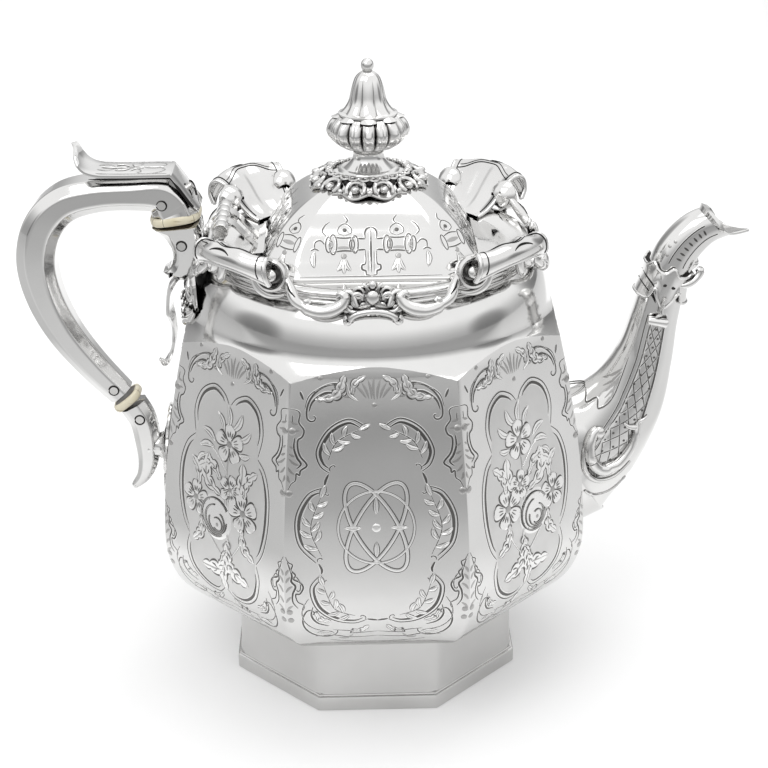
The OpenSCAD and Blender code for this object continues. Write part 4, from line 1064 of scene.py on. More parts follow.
def make_shells():
    """Smooth shells with rolled crests at the rim's corners, drawn for the corner between +X and +Y."""
    rise = spline([(48.4, 163.6), (51.6, 165.0), (55.6, 168.2), (60.0, 173.4), (63.6, 177.0), (67.4, 178.8),
                   (70.4, 177.8), (71.6, 175.0), (70.6, 172.6)], 60)
    flutes = 3

    def point(s, t, out):
        s, t = np.asarray(s, float), np.clip(np.asarray(t, float), 0, 1)
        hollow = 0.5 - 0.5 * np.cos(np.pi * flutes * (s + 1))
        a = np.radians(45 + SHELL_HALF_ANGLE * 1.06 * s * (0.78 + 0.22 * t))
        q = along(rise, t)
        d = along(rise, np.clip(t + 0.01, 0, 1)) - along(rise, np.clip(t - 0.01, 0, 1))
        d = d / np.linalg.norm(d, axis=-1)[..., None]
        k = np.abs(s) ** 2.4
        off = out - 0.6 * hollow * np.sin(np.pi * np.clip(1.25 * t, 0, 1)) ** 0.8
        r = q[..., 0] - d[..., 1] * off - 3.4 * k * t**2
        z = q[..., 1] + d[..., 0] * off - 4.6 * k * t**2
        return np.stack([r * np.cos(a), r * np.sin(a), z], -1)
    one = Shape()
    s, t = np.meshgrid(np.linspace(-1, 1, 97), np.linspace(0, 1, 60), indexing="ij")
    one.grid(point(s, t, 0.0), flip=True)
    one.grid(point(s, t, -1.3), flip=False)
    line = np.linspace(-1, 1, 97)
    one.tube(point(line, np.ones_like(line), -0.6), 0.95, 12)
    for end in (-1.0, 1.0):
        up_edge = np.linspace(0.02, 1, 60)
        one.tube(point(np.full(60, end), up_edge, -0.5), 0.7 + 0.25 * up_edge, 12)
        one.tube(point(np.full(50, 0.86 * end), np.linspace(0.1, 0.94, 50), 0.05), 0.2, 6, mark=1)
    low = 0.53 + 0.06 * np.cos(line * 3)
    one.tube(point(0.86 * line, low, 0.05), 0.2, 6, mark=1)
    one.tube(point(0.80 * line, low + 0.05, 0.02), 0.16, 6, mark=1)
    bow = np.linspace(-1, 1, 20)
    one.tube(point(0.26 * bow, 0.72 + 0.06 * bow**2, 0.05), 0.12 + 0.3 * (1 - bow**2), 6, mark=1)
    shape = Shape()
    shape.take(one, FOUR_CORNERS)
    shape.build("rim_shell_finish", "pot", [CAST, OXIDE_AND_PAINTED_SHADE], "cast_silver", ["rim_shells"])


# ---------- gallery under the finial ----------
def make_gallery():
    shape = Shape()
    n = 192
    a = np.linspace(0, 2 * np.pi, n, endpoint=False)
    lobes_out = 0.5 + 0.5 * np.cos(12 * a + np.pi)
    rows = []
    for t in np.linspace(0, 1, 18):
        r = (19.6 + 1.3 * lobes_out) * (1 - t) + 9.4 * t
        z = (186.6 - 1.3 * lobes_out) * (1 - t) + 190.5 * t + 0.9 * np.sin(np.pi * t) ** 0.8
        rows.append(np.stack([r * np.cos(a), r * np.sin(a), z], 1))
    p = np.array(rows)
    shape.grid(p, wrap_v=True, flip=True)
    shape.tube(np.concatenate([p[0], p[0][:1]]), 0.6, 8)

    def on_cone(angle, t, out=0.0):
        r = 20.4 * (1 - t) + 9.4 * t
        z = 186.2 * (1 - t) + 190.5 * t + 0.9 * np.sin(np.pi * np.clip(t, 0, 1)) ** 0.8 + out
        return np.stack([(r + out * 0.5) * np.cos(angle), (r + out * 0.5) * np.sin(angle), z], -1)
    for k in range(12):
        middle = math.radians(30 * k + 15)
        shape.ball(on_cone(middle, 0.16, 0.7), (1.9, 1.5, 1.3), n=12, axes=turned(-math.degrees(middle)))
        for s in (1, -1):
            hoop = spline([(0.13, 0.0), (0.165, 0.14), (0.15, 0.32), (0.08, 0.42), (0.0, 0.44)], 18)
            shape.tube(on_cone(middle + s * hoop[:, 0], hoop[:, 1], 0.7), swell(19, 0.6, 0.85), 8)
            q = spiral((0.15, 0.62), 0.11, 0.05, 1.1, 2.6, 20)
            shape.tube(on_cone(middle + s * q[:, 0], q[:, 1], 0.6), 0.6, 8)
        # dark balls of painted shade stand for the pierced holes
        shape.ball(on_cone(middle + math.radians(15), 0.44, 0.1), (1.25, 1.25, 0.8), mark=1, n=12)
        shape.ball(on_cone(middle + math.radians(15), 0.06, 0.6), (1.1, 1.1, 1.0), n=10)
        shape.ball(on_cone(middle, 0.66, 0.4), (1.1, 1.1, 0.8), n=10)
    shape.lathe([(10.6, 189.8), (10.9, 190.3), (10.4, 191.0), (9.4, 191.3), (8.2, 190.8)], 64)
    shape.build("gallery_finish", "lid", [CHASED, OXIDE_AND_PAINTED_SHADE], "cast_silver", ["lid_gallery"])


# ---------- hinge ----------
def make_hinge():
    at_x, at_z = -52.0, 172.7
    length, gap = 30.0, 0.3
    knuckle = (length - 4 * gap) / 5
    for name, which, body, node in (("hinge_fixed_finish", (0, 2, 4), "pot", "hinge_body_knuckles"),
                                    ("hinge_moving_finish", (1, 3), "lid", "hinge_lid_knuckles")):
        shape = Shape()
        for i in which:
            y = (i - 2) * (knuckle + gap)
            h = knuckle / 2
            profile = [(1.2, -h), (2.5, -h), (2.75, -h + 0.25), (2.8, -h + 0.5), (2.8, h - 0.5),
                       (2.75, h - 0.25), (2.5, h), (1.2, h)]
            turn = Shape()
            turn.lathe(profile, 40)
            shape.take(turn, [([[1, 0, 0], [0, 0, 1], [0, -1, 0]], (at_x, y, at_z))])
            width = knuckle / 2 - 0.05
            if body == "pot":
                leaf = [(-2.6, -0.4), (-2.8, -3.0), (-3.4, -6.0), (-5.6, -7.0)]
            else:
                leaf = [(1.6, 1.7), (4.6, 0.2), (9.0, -4.6), (12.6, -8.6)]
            centre = spline(leaf, 14)
            for s in (0.0, -1.0):
                grid = np.array([[(at_x + x, y + w, at_z + z + s) for w in (-width, width)]
                                 for x, z in centre])
                shape.grid(grid, flip=(s == 0.0) != (body == "pot"))
        if body == "lid":
            plate = np.array([[(x, y, z) for y in np.linspace(-14, 14, 9)]
                              for x, z in ((-42.0, 163.3), (-41.6, 164.3), (-37.4, 164.6), (-36.6, 166.0))])
            shape.grid(plate, flip=True)
        else:
            plate = np.array([[(x, y, z) for y in np.linspace(-15, 15, 9)]
                              for x, z in ((-57.6, 165.0), (-57.4, 166.0), (-51.6, 166.0), (-51.4, 165.0))])
            shape.grid(plate, flip=True)
        shape.build(name, body, [POLISHED], "silver_fittings", [node])


# ---------- handle ----------
GRIP_PATH = [(-68.6, 178.2), (-72.6, 183.2), (-83, 183.8), (-96, 183.2), (-107.4, 180), (-115.4, 171.6),
             (-118.8, 159.4), (-117.2, 146), (-111.6, 132), (-102.6, 118.5), (-92.4, 106.4)]
GRIP_SIZE = [(8.2, 8.6), (7, 8.8), (5.8, 9), (5.8, 9), (6.4, 8.8), (6.8, 8.4),
             (6.8, 8), (6.6, 7.4), (6.2, 6.6), (5.6, 5.8), (4.9, 5.2)]
TAIL_PATH = [(-88.6, 101.8), (-85.4, 95.4), (-84.2, 87), (-84.4, 79), (-86.6, 72.4), (-91, 67.4)]
TAIL_SIZE = [(4.9, 5.2), (4.8, 5), (4.6, 4.6), (3.8, 4), (2.6, 3), (1.2, 1.6)]


def cut_section(h, w, c, near=0.30, far=0.85):
    """Eight-sided section with softened edges, as (v, y) points."""
    corners = np.array([(h, w - c), (h, c - w), (h - c, -w), (c - h, -w), (-h, c - w), (-h, w - c),
                        (c - h, w), (h - c, w)])
    ring = []
    for i, p in enumerate(corners):
        back, ahead = corners[i - 1] - p, corners[(i + 1) % 8] - p
        back, ahead = back / np.linalg.norm(back), ahead / np.linalg.norm(ahead)
        ring += [p + back * far, p + back * near, p + ahead * near, p + ahead * far]
    return np.array(ring)


def sectioned(shape, path, size, n, cut, mark=0, end_scale=None):
    """A bar of eight-sided section along a path in the XZ plane."""
    rings = []
    for u in np.linspace(0, 1, n):
        h, w = along(size, np.array(u))
        k = 1.0 if end_scale is None else end_scale(u)
        ring = cut_section(h * k, w * k, cut(h) * k, 0.30 * k, 0.85 * k)
        rings.append(swept(path, np.full(len(ring), u), ring[:, 0], ring[:, 1]))
    p = np.array(rings)
    shape.grid(p, wrap_v=True, mark=mark)
    for ring, turn in ((p[0], -1), (p[-1], 1)):
        shape.add(ring, [tuple(range(len(ring)))[::turn]], mark)


def slab(shape, outline, width_at, bevel, mark=0):
    """A closed XZ outline thickened sideways, edges chamfered; width_at is its half width at a height."""
    p = np.array(outline, float)
    ahead, back = np.roll(p, -1, 0) - p, p - np.roll(p, 1, 0)
    ahead /= np.linalg.norm(ahead, axis=1)[:, None]
    back /= np.linalg.norm(back, axis=1)[:, None]
    t = ahead + back
    t /= np.linalg.norm(t, axis=1)[:, None] + 1e-9
    area = 0.5 * np.sum(p[:, 0] * np.roll(p[:, 1], -1) - np.roll(p[:, 0], -1) * p[:, 1])
    inward = np.stack([-t[:, 1], t[:, 0]], 1) * np.sign(area)
    w = np.array([width_at(z) for z in p[:, 1]])
    rings = []
    for side, inset, drop in ((-1, 1.0, 0), (-1, 0.82, 0.10), (-1, 0.12, 0.86), (-1, 0, 1.0), (1, 0, 1.0),
                              (1, 0.12, 0.86), (1, 0.82, 0.10), (1, 1.0, 0)):
        q = p + inward * bevel * inset
        rings.append(np.stack([q[:, 0], side * (w - bevel * drop), q[:, 1]], 1))
    r = np.array(rings)
    shape.grid(r, wrap_v=True, mark=mark, flip=area < 0)
    n = len(p)
    order = tuple(range(n)) if area > 0 else tuple(range(n))[::-1]
    shape.add(r[0], [order], mark)
    shape.add(r[-1], [order[::-1]], mark)


def acanthus(shape, path, half_width, rise, side, mark=0, scallops=4, deep=0.22, columns=15):
    """A leaf along a 3D path: scalloped edges, a ridged crown and a closed back. side is its way across."""
    path = np.asarray(path, float)
    t = np.gradient(path, axis=0)
    t /= np.linalg.norm(t, axis=1)[:, None]
    side = np.array(side, float)
    side = side - t * (t @ side)[:, None]
    side /= np.linalg.norm(side, axis=1)[:, None]
    up = np.cross(side, t)
    s = np.linspace(0, 1, len(path))
    w = np.broadcast_to(np.asarray(half_width, float), len(path))
    w = w * (1 - deep * np.abs(np.sin(np.pi * scallops * s)))
    f = np.linspace(-1, 1, columns)
    crown = rise * (1 - f**2) + 0.22 * rise * np.cos(np.pi * 3 * f) - 0.5 * rise * np.exp(-(f / 0.10) ** 2)
    scale = np.minimum(1, w / (w.max() + 1e-9))[:, None, None]
    top = (path[:, None] + w[:, None, None] * f[None, :, None] * side[:, None]
           + scale * crown[None, :, None] * up[:, None])
    low = path[:, None] + w[:, None, None] * f[None, ::-1, None] * side[:, None] - 0.35 * up[:, None]
    shape.grid(np.concatenate([top, low], 1), wrap_v=True, mark=mark, flip=True)


DISC_SLOPE = 0.14
CRACK_WIDTH = 0.016  # radians round the disc
DISC_POWER = 3.4  # 2 would be an ellipse in plan, more is squarer


def pin_rings(shape, places):
    """A fine dark joint round each rivet, on both sides."""
    for x, z, y in places:
        for side in (1, -1):
            a = np.linspace(0, 2 * np.pi, 25)
            shape.tube(np.stack([x + 1.75 * np.cos(a), np.full(25, side * y), z + 1.75 * np.sin(a)], 1),
                       0.3, 6, mark=1)


def make_grip():
    shape = Shape()
    cut = [min(3.5, 0.55 * h) for h, _ in GRIP_SIZE]
    rings = []
    for u in np.linspace(0, 1, 150):
        h, w = along(GRIP_SIZE, np.array(u))
        ring = cut_section(h, w, float(np.interp(u * 10, range(11), cut)))
        p = swept(GRIP_PATH, np.full(len(ring), u), ring[:, 0], ring[:, 1])
        if u < 0.15:
            p[:, 2] = np.maximum(p[:, 2], 176.0 + DISC_SLOPE * (p[:, 0] + 68.4))
        rings.append(p)
    foot = rings[0].copy()
    v = cut_section(8.4, 8.7, 3.2)
    foot[:, 0] = -68.2 - v[:, 0]
    foot[:, 1] = v[:, 1]
    foot[:, 2] = 176.0 + DISC_SLOPE * (foot[:, 0] + 68.4)
    lift = 0.5 * (foot + rings[0])
    p = np.array([foot, lift] + rings)
    shape.grid(p, wrap_v=True)
    shape.add(p[0], [tuple(range(p.shape[1]))[::-1]], 0)
    shape.add(p[-1], [tuple(range(p.shape[1]))], 0)
    pin_rings(shape, [(-72.4, 180.6, 8.6), (-94.6, 109.4, 5.45)])
    shape.build("handle_grip_finish", "pot", [HANDLE, OXIDE_AND_PAINTED_SHADE], "polished_silver", ["handle_grip"])


STRAP_LINE = [(-59.4, 178.6), (-61.6, 182.0), (-65.6, 188.0), (-67.9, 191.2), (-68.6, 191.7),
              (-70.0, 191.8), (-80, 191.8), (-90, 191.9), (-96, 192.3),
              (-99.4, 193.6), (-101.6, 196.0), (-102.8, 199.0), (-103.4, 201.2)]


def strap_surface(p):
    """Top of the strap: (y, distance behind the bend) to a point and the way up."""
    x = -68.6 - p[:, 1]
    z = np.interp(-x, [-q[0] for q in STRAP_LINE[4:]], [q[1] for q in STRAP_LINE[4:]])
    crown = 0.21 * (1 - (p[:, 0] / 8.8) ** 2)
    return np.stack([x, p[:, 0], z + crown + 0.02], 1), np.broadcast_to([0.0, 0.0, 1.0], (len(p), 3))


def make_strap():
    line = spline(STRAP_LINE, 130)
    s = np.linspace(0, 1, len(line))
    width = np.interp(s, [0, 0.04, 0.10, 0.33, 0.62, 0.70, 0.80, 0.88, 0.95, 1],
                      [7.2, 8.2, 8.5, 8.7, 8.9, 9.3, 9.2, 7.0, 3.6, 0.3])
    t = np.gradient(line, axis=0)
    t /= np.linalg.norm(t, axis=1)[:, None]
    up = np.stack([t[:, 1], -t[:, 0]], 1)
    rings = []
    thick = np.interp(s, [0, 0.6, 1], [1.25, 1.3, 0.7])
    for f, drop in ((-0.93, 0), (-0.99, 0.15), (-1, 0.5), (-0.99, 0.85), (-0.93, 1), (0.93, 1),
                    (0.99, 0.85), (1, 0.5), (0.99, 0.15), (0.93, 0),
                    (0.5, -0.12), (0, -0.16), (-0.5, -0.12)):
        cup = np.where(s > 0.62, (s - 0.62) * 6 * f * f, 0)
        q = line - up * (drop * thick)[:, None] + up * cup[:, None]
        rings.append(np.stack([q[:, 0], f * width, q[:, 1]], 1))
    shape = Shape()
    p = np.array(rings).transpose(1, 0, 2)
    shape.grid(p, wrap_v=True)
    shape.add(p[0], [tuple(range(13))[::-1]])
    # dark tubes of painted shade along the gap between strap and grip
    for side in (1, -1):
        gap = [(x, side * 8.1, z) for x, z in spline([(-97, 190.3), (-85, 190.2), (-70.4, 190.2),
                                                      (-68.4, 189.6), (-66, 186.4), (-61.6, 179.8)], 40)]
        shape.tube(gap, np.interp(np.linspace(0, 1, 41), [0, 0.1, 0.6, 0.8, 1],
                                  [0.1, 0.32, 0.32, 0.7, 0.6]), 8, mark=1)
    hook = np.array([[x + 0.4, 2.6 * math.sin(a), z + 0.4]
                     for (x, z), a in zip(spline([(-63.4, 186.2), (-62.0, 184.0), (-61.0, 182.2)], 20),
                                          np.linspace(0.4, 4.4, 21))])
    shape.tube(hook, 0.4, 6, mark=1)
    shape.build("handle_strap_finish", "pot", [HANDLE, OXIDE_AND_PAINTED_SHADE], "polished_silver", ["handle_strap"])
    c = Chaser(strap_surface)
    c.scroll((2.2, 3.6), (5.4, 10.5), (200, 80, 220), 0.5)
    c.scroll((5.2, 12.0), (2.4, 18.6), (-220, -90, -200), 0.5)
    c.leaf((0.0, 3.0), (0.0, 9.6), 2.0, mirror=False)
    c.leaf((0.8, 10.0), (4.0, 14.4), 1.3, 0.2)
    c.leaf((0.6, 14.6), (3.4, 19.8), 1.3, -0.2)
    c.leaf((0.0, 16.0), (0.0, 24.8), 1.8, mirror=False)
    c.line([(1.2, 20.0), (3.6, 22.6), (2.6, 26.0)], 0.4)
    c.line([(7.4, 1.6), (7.5, 14.0), (7.4, 26.0)], 0.35)
    c.build("handle_strap_engraving", "pot", CUT_FINISH, "engraved_silver")


def make_disc(name, node, at, tilt, w, d, thick):
    """Insulating disc: bulged edge, age cracks and a dark line of shade against each socket."""
    shape = Shape()
    a = np.linspace(0, 2 * np.pi, 60, endpoint=False)
    cracks = sorted(random.sample(range(60), 13))
    marks_at = set(cracks)
    angles, narrow = [], []
    for i, x in enumerate(a):
        angles.append(x)
        narrow.append(i in marks_at)
        if i in marks_at:
            angles.append(x + CRACK_WIDTH)
            narrow.append(False)
    angles = np.array(angles)
    plan = np.abs(np.cos(angles)) ** DISC_POWER + np.abs(np.sin(angles)) ** DISC_POWER
    plan = 1 / plan ** (1 / DISC_POWER)
    tilt_m = np.array(Matrix.Rotation(math.radians(tilt), 3, "Y"))
    rows = []
    h = thick / 2
    for grow, z in ((-1.2, -h), (-0.5, -h), (-0.12, -h * 0.8), (0.1, -h * 0.35), (0.1, h * 0.35),
                    (-0.12, h * 0.8), (-0.5, h), (-1.2, h)):
        q = np.stack([(w + grow) * plan * np.cos(angles), (d + grow) * plan * np.sin(angles),
                      np.full(len(angles), z)], 1)
        rows.append(q @ tilt_m.T + [at[0], 0, at[1]])
    p = np.array(rows)
    shape.grid(p, wrap_v=True, mark=[1 if k else 0 for k in narrow], flip=False)
    # end faces against the sockets take the dark line colour: painted shade
    shape.add(p[0], [tuple(range(len(angles)))[::-1]], 1)
    shape.add(p[-1], [tuple(range(len(angles)))], 1)
    shape.build(name, "pot", [IVORY, IVORY_CRACK_AND_SHADE], "ivory", [node])


UPPER_SOCKET = np.concatenate([
    [(-76.6, 171.6), (-59.8, 173.8)], bezier((-59.8, 173.8), (-58.6, 166), (-59, 158), (-63.6, 153),
                                             14)[1:],
    bezier((-63.6, 153), (-66.6, 150.4), (-70, 150.8), (-73.8, 154.6), 10)[1:],
    bezier((-73.8, 154.6), (-70, 156), (-69.2, 160), (-70.2, 164), 10)[1:], [(-72.4, 168)]])


def make_sockets():
    shape = Shape()
    slab(shape, UPPER_SOCKET, lambda z: float(np.interp(z, [150, 158, 173], [6.4, 7.0, 8.4])), 2.3)
    pin_rings(shape, [(-66.4, 165.4, 7.75)])
    shape.build("upper_socket_finish", "pot", [HANDLE, OXIDE_AND_PAINTED_SHADE], "polished_silver", ["upper_socket"])

    shape = Shape()
    sectioned(shape, TAIL_PATH, TAIL_SIZE, 70, lambda h: 0.5 * h,
              end_scale=lambda u: 1.0 if u < 0.93 else math.sqrt(max(0.02, 1 - ((u - 0.93) / 0.07) ** 2)))
    neck = Shape()
    line = np.concatenate([bezier((7.4, 0), (5.0, 0.6), (4.3, 2.6), (4.4, 5.0), 14),
                           [(4.6, 6.4), (4.2, 7.2)]])
    neck.lathe(line, 96, radial=lambda a, row: 1 - 0.07 * np.abs(np.sin(6 * a)) * np.sin(
        np.pi * np.clip(row / 16, 0, 1)))
    shape.take(neck, [([[0, 0, -1], [0, 1, 0], [1, 0, 0]], (-77.4, 0, 84.5))])
    pin_rings(shape, [(-86.0, 97.2, 5.15)])
    shape.build("lower_socket_finish", "pot", [HANDLE, OXIDE_AND_PAINTED_SHADE], "polished_silver", ["lower_socket"])


def make_lower_plate():
    """Fretted plate on the handle-side panel, with scrolls round its pierced holes, which are drawn as dark
    balls of painted shade.
    """
    surface = panel_surface(4)
    circles = [(0.0, 9.0), (10.5, 6.5), (-10.5, 6.5), (16.0, 2.5), (-16.0, 2.5)]
    z = np.linspace(-18.3, 18.3, 80)
    half = np.max([np.sqrt(np.clip(r * r - (z - c) ** 2, 0.01, None)) for c, r in circles], 0)
    shape = Shape()
    for lift, back in ((2.1, False), (0.0, True)):
        rows = []
        for zz, w in zip(z, half):
            pos, out = surface(np.stack([np.linspace(-w, w, 21), np.full(21, 82.5 + zz)], 1))
            rows.append(pos + out * lift)
        shape.grid(np.array(rows), flip=not back)
    for side in (1, -1):
        q = np.stack([side * half, 82.5 + z], 1)
        pos, out = surface(q)
        shape.grid(np.stack([pos, pos + out * 2.1], 1), flip=side > 0)
        shape.tube(pos + out * 2.0, 0.75, 8)

    def bar(points, radius, lift=2.3, mark=0):
        pos, out = surface(np.asarray(points, float))
        shape.tube(pos + out * lift, radius, 8, mark)
    for s in (1, -1):
        for t in (1, -1):
            bar(spiral((s * 3.0, 82.5 + t * 10.2), 2.6, 1.0, t * s * 1.1, 0.6 if t > 0 else -0.6, 26), 0.6)
            bar(bezier((s * 1.4, 82.5 + t * 6.0), (s * 6.4, 82.5 + t * 6.6), (s * 7.6, 82.5 + t * 2.0),
                       (s * 5.4, 82.5), 14), 0.7)
        pos, out = surface(np.array([[s * 6.6, 82.5]]))
        # dark ball of painted shade for a pierced hole
        shape.ball(pos[0] + out[0] * 1.6, (0.7, 1.1, 1.1), mark=1, n=10)
    # dark balls of painted shade for the pierced holes up and down the middle
    for dz, r in ((9.8, 1.6), (-9.8, 1.6), (15.8, 1.1), (-15.8, 1.1)):
        pos, out = surface(np.array([[0, 82.5 + dz]]))
        shape.ball(pos[0] + out[0] * 1.7, (0.7, r, r), mark=1, n=10)
    shape.build("lower_plate_finish", "pot", [CAST, OXIDE_AND_PAINTED_SHADE], "cast_silver", ["lower_plate"])


def make_upper_mount():
    shape = Shape()
    bracket = np.concatenate([bezier((-58.0, 162.4), (-62, 154), (-62, 146), (-66.5, 139), 12),
                              [(-62, 137), (-56, 148), (-52, 158)]])
    slab(shape, bracket, lambda z: float(np.interp(z, [137, 150, 162], [6.4, 5.6, 5.2])), 1.4)
    leaf = spline([(-64.6, 0, 154.4), (-69.0, 0, 151.4), (-72.0, 0, 146.4), (-72.6, 0, 140.0),
                   (-71.4, 0, 133.0), (-71.6, 0, 126.6),
                   (-73.4, 0, 121.0), (-75.8, 0, 118.2), (-77.6, 0, 119.6)], 70)
    s = np.linspace(0, 1, 71)
    acanthus(shape, leaf, np.interp(s, [0, 0.2, 0.38, 0.55, 0.75, 0.9, 1],
                                    [4.0, 6.2, 7.4, 5.6, 5.2, 3.6, 1.0]), 1.7, (0, 1, 0), scallops=5)
    for side in (1, -1):
        horn = spline([(-60.0, side * 5.0, 156.0), (-62.4, side * 8.6, 153.4), (-62.6, side * 11.0, 149.4),
                       (-60.8, side * 11.6, 145.6),
                       (-58.6, side * 10.2, 146.0), (-58.4, side * 9.0, 148.4), (-60.2, side * 9.0, 149.6)],
                       44)
        shape.tube(horn, np.interp(np.linspace(0, 1, 45), [0, 0.4, 1], [1.5, 1.7, 0.6]), 10)
        low = spline([(-64.8, side * 5.0, 146.0), (-66.0, side * 9.0, 142.6), (-66.2, side * 13.4, 141.6),
                      (-64.4, side * 17.0, 142.6), (-62.8, side * 18.4, 145.0)], 30)
        acanthus(shape, low, 3.0 * np.sin(np.pi * np.linspace(0.12, 0.98, 31)) ** 0.7 + 0.1, 1.0,
                 (0.2, 0.1, 1), scallops=4, deep=0.3)
        for k in range(3):
            y = side * (7.0 + 3.4 * k)
            shape.ball((-66.4 + 0.5 * k, y, 146.4 - 1.4 * k), (1.3, 1.5, 1.5), n=10)
            arc = [(-66.8 + 0.5 * k + 0.6 * math.cos(a), y + 2.0 * math.cos(a),
                    146.4 - 1.4 * k + 2.0 * math.sin(a)) for a in np.linspace(0, 5.2, 20)]
            shape.tube(arc, 0.5, 6)
        # dark balls here and below: painted shade behind the scrolls and leaves of the mount
        shape.ball((-59.8, side * 9.6, 148.2), (2.2, 0.8, 2.2), mark=1, n=12)
    # painted shade behind the middle of the mount
    shape.ball((-57.4, 0, 151.5), (1.8, 4.2, 3.6), mark=1, n=12)
    for side in (1, -1):
        a = np.linspace(-0.6, 4.9, 40)
        ring = np.stack([-57.0 + 4.0 * np.cos(a), side * (10.4 - 0.3 * a), 154.4 + 4.2 * np.sin(a)], 1)
        shape.tube(ring, np.interp(a, [-0.6, 1.5, 4.9], [0.6, 1.5, 0.8]), 10)
        # painted shade inside the ring and behind the socket
        shape.ball((-57.0, side * 9.0, 154.4), (3.7, 1.0, 3.9), mark=1, n=14)
        shape.ball((-56.0, side * 7.0, 160.6), (2.8, 3.4, 2.4), mark=1, n=12)
    heights, radii = SHOULDER_LINE[:, 1], SHOULDER_LINE[:, 0]
    for side in (1, -1):
        def on_shoulder(places, out, n):
            q = spline(places, n)
            r = np.interp(q[:, 1], heights, radii) + out
            turn = np.radians(q[:, 0])
            return np.stack([-r * np.cos(turn), side * r * np.sin(turn), q[:, 1]], 1)
        full = np.sin(np.pi * np.linspace(0.14, 0.98, 41)) ** 0.7 + 0.05
        acanthus(shape, on_shoulder([(3, 150), (10, 152), (16, 150.5), (20, 147)], 1.0, 40), 5.6 * full,
                 2.2, (0, 0, side), scallops=4, deep=0.3)
        acanthus(shape, on_shoulder([(3, 143), (9, 141.4), (14, 142), (18, 145.5)], 1.3, 40), 4.0 * full,
                 1.8, (0, 0, side), scallops=4, deep=0.3)
        horn = on_shoulder([(16, 161.5), (10, 161), (7.5, 156), (10, 150.5), (16, 149), (18, 152)], 2.2, 44)
        shape.tube(horn, np.interp(np.linspace(0, 1, 45), [0, 0.4, 1], [0.9, 1.7, 0.8]), 10)
        # painted shade under the shoulder leaves
        shape.ball(on_shoulder([(12, 156.5), (13.5, 156.5)], 0.4, 2)[1], (2.2, 6.4, 4.6), mark=1, n=14)
        shape.ball(on_shoulder([(4, 158), (6, 158)], 0.6, 2)[1], (3.0, 3.4, 5.0), mark=1, n=14)
    shape.build("upper_mount_finish", "pot", [CAST, OXIDE_AND_PAINTED_SHADE], "cast_silver", ["upper_mount"])


# ---------- spout ----------
SPOUT_PATH = [(73, 80.2), (84.4, 87.6), (94.5, 101), (100.5, 117), (103.5, 132), (106.5, 146),
              (110.5, 157.5), (118, 166), (127, 169), (136, 168.4)]
SPOUT_SIZE = [(28.4, 17), (20.4, 14), (15, 11), (10.8, 9), (8.8, 8), (8, 7.6),
              (7.5, 7.2), (6.8, 6.8), (5.4, 6.4), (3.6, 6)]
HOOD_U = 0.825
ROOT_DROP = 0.6  # how far the underside of the root drops for each mm between it and the body
BOXY = 2.35


def spout_end(a):
    return 1 - (1 - HOOD_U) * ((1 + np.cos(a)) / 2) ** 0.32


def lattice_place(u):
    """Middle and half height of the recessed side panel at u."""
    middle = np.interp(u, [0.06, 0.14, 0.25, 0.36, 0.47], [-6.0, -3.6, -1.2, -0.4, -0.1])
    half = np.interp(u, [0.04, 0.06, 0.09, 0.14, 0.22, 0.34, 0.47], [0.0, 3.4, 5.0, 5.4, 4.3, 3.0, 2.3])
    return middle, half


def spout_recess(u, v):
    middle, half = lattice_place(u)
    inside = np.clip((half + 0.4 - np.abs(v - middle)) / 0.8, 0, 1) * (u < 0.475)
    return 0.7 * inside


def spout_point(u, a, inset=0.0):
    s = along(SPOUT_SIZE, u)
    h, w = s[..., 0] - inset, s[..., 1] - inset
    c, d = np.cos(a), np.sin(a)
    v = h * np.sign(c) * np.abs(c) ** (2 / BOXY)
    y = w * np.sign(d) * np.abs(d) ** (2 / BOXY)
    if inset == 0.0:
        y = y - np.sign(y) * spout_recess(u, v)
    p = swept(SPOUT_PATH, u, v, y)
    p[..., 0] = np.maximum(p[..., 0], panel_half(p[..., 2]) - 0.3)
    return p


def spout_surface(p):
    """Near side of the spout: (x, z) to the point on it and the way out."""
    u = np.linspace(0, 1, 500)
    line = along(SPOUT_PATH, u)

    def height(q):
        far = np.hypot(q[:, None, 0] - line[None, :, 0], q[:, None, 1] - line[None, :, 1])
        i = far.argmin(1)
        d = np.gradient(line, axis=0)[i]
        d /= np.linalg.norm(d, axis=1)[:, None]
        off = q - line[i]
        v = off[:, 1] * d[:, 0] - off[:, 0] * d[:, 1]
        s = along(SPOUT_SIZE, u[i])
        y = s[:, 1] * (1 - np.clip(np.abs(v) / s[:, 0], 0, 0.999) ** BOXY) ** (1 / BOXY)
        return y - spout_recess(u[i], v)
    y = height(p)
    e = 0.15
    dx = (height(p + [e, 0]) - height(p - [e, 0])) / (2 * e)
    dz = (height(p + [0, e]) - height(p - [0, e])) / (2 * e)
    out = np.stack([-dx, -np.ones_like(y), -dz], 1)
    return np.stack([p[:, 0], -y, p[:, 1]], 1), out / np.linalg.norm(out, axis=1)[:, None]


def spout_uv(u, v):
    q = swept(SPOUT_PATH, np.asarray(u, float), np.asarray(v, float), np.zeros(np.shape(u)))
    return q[..., [0, 2]]


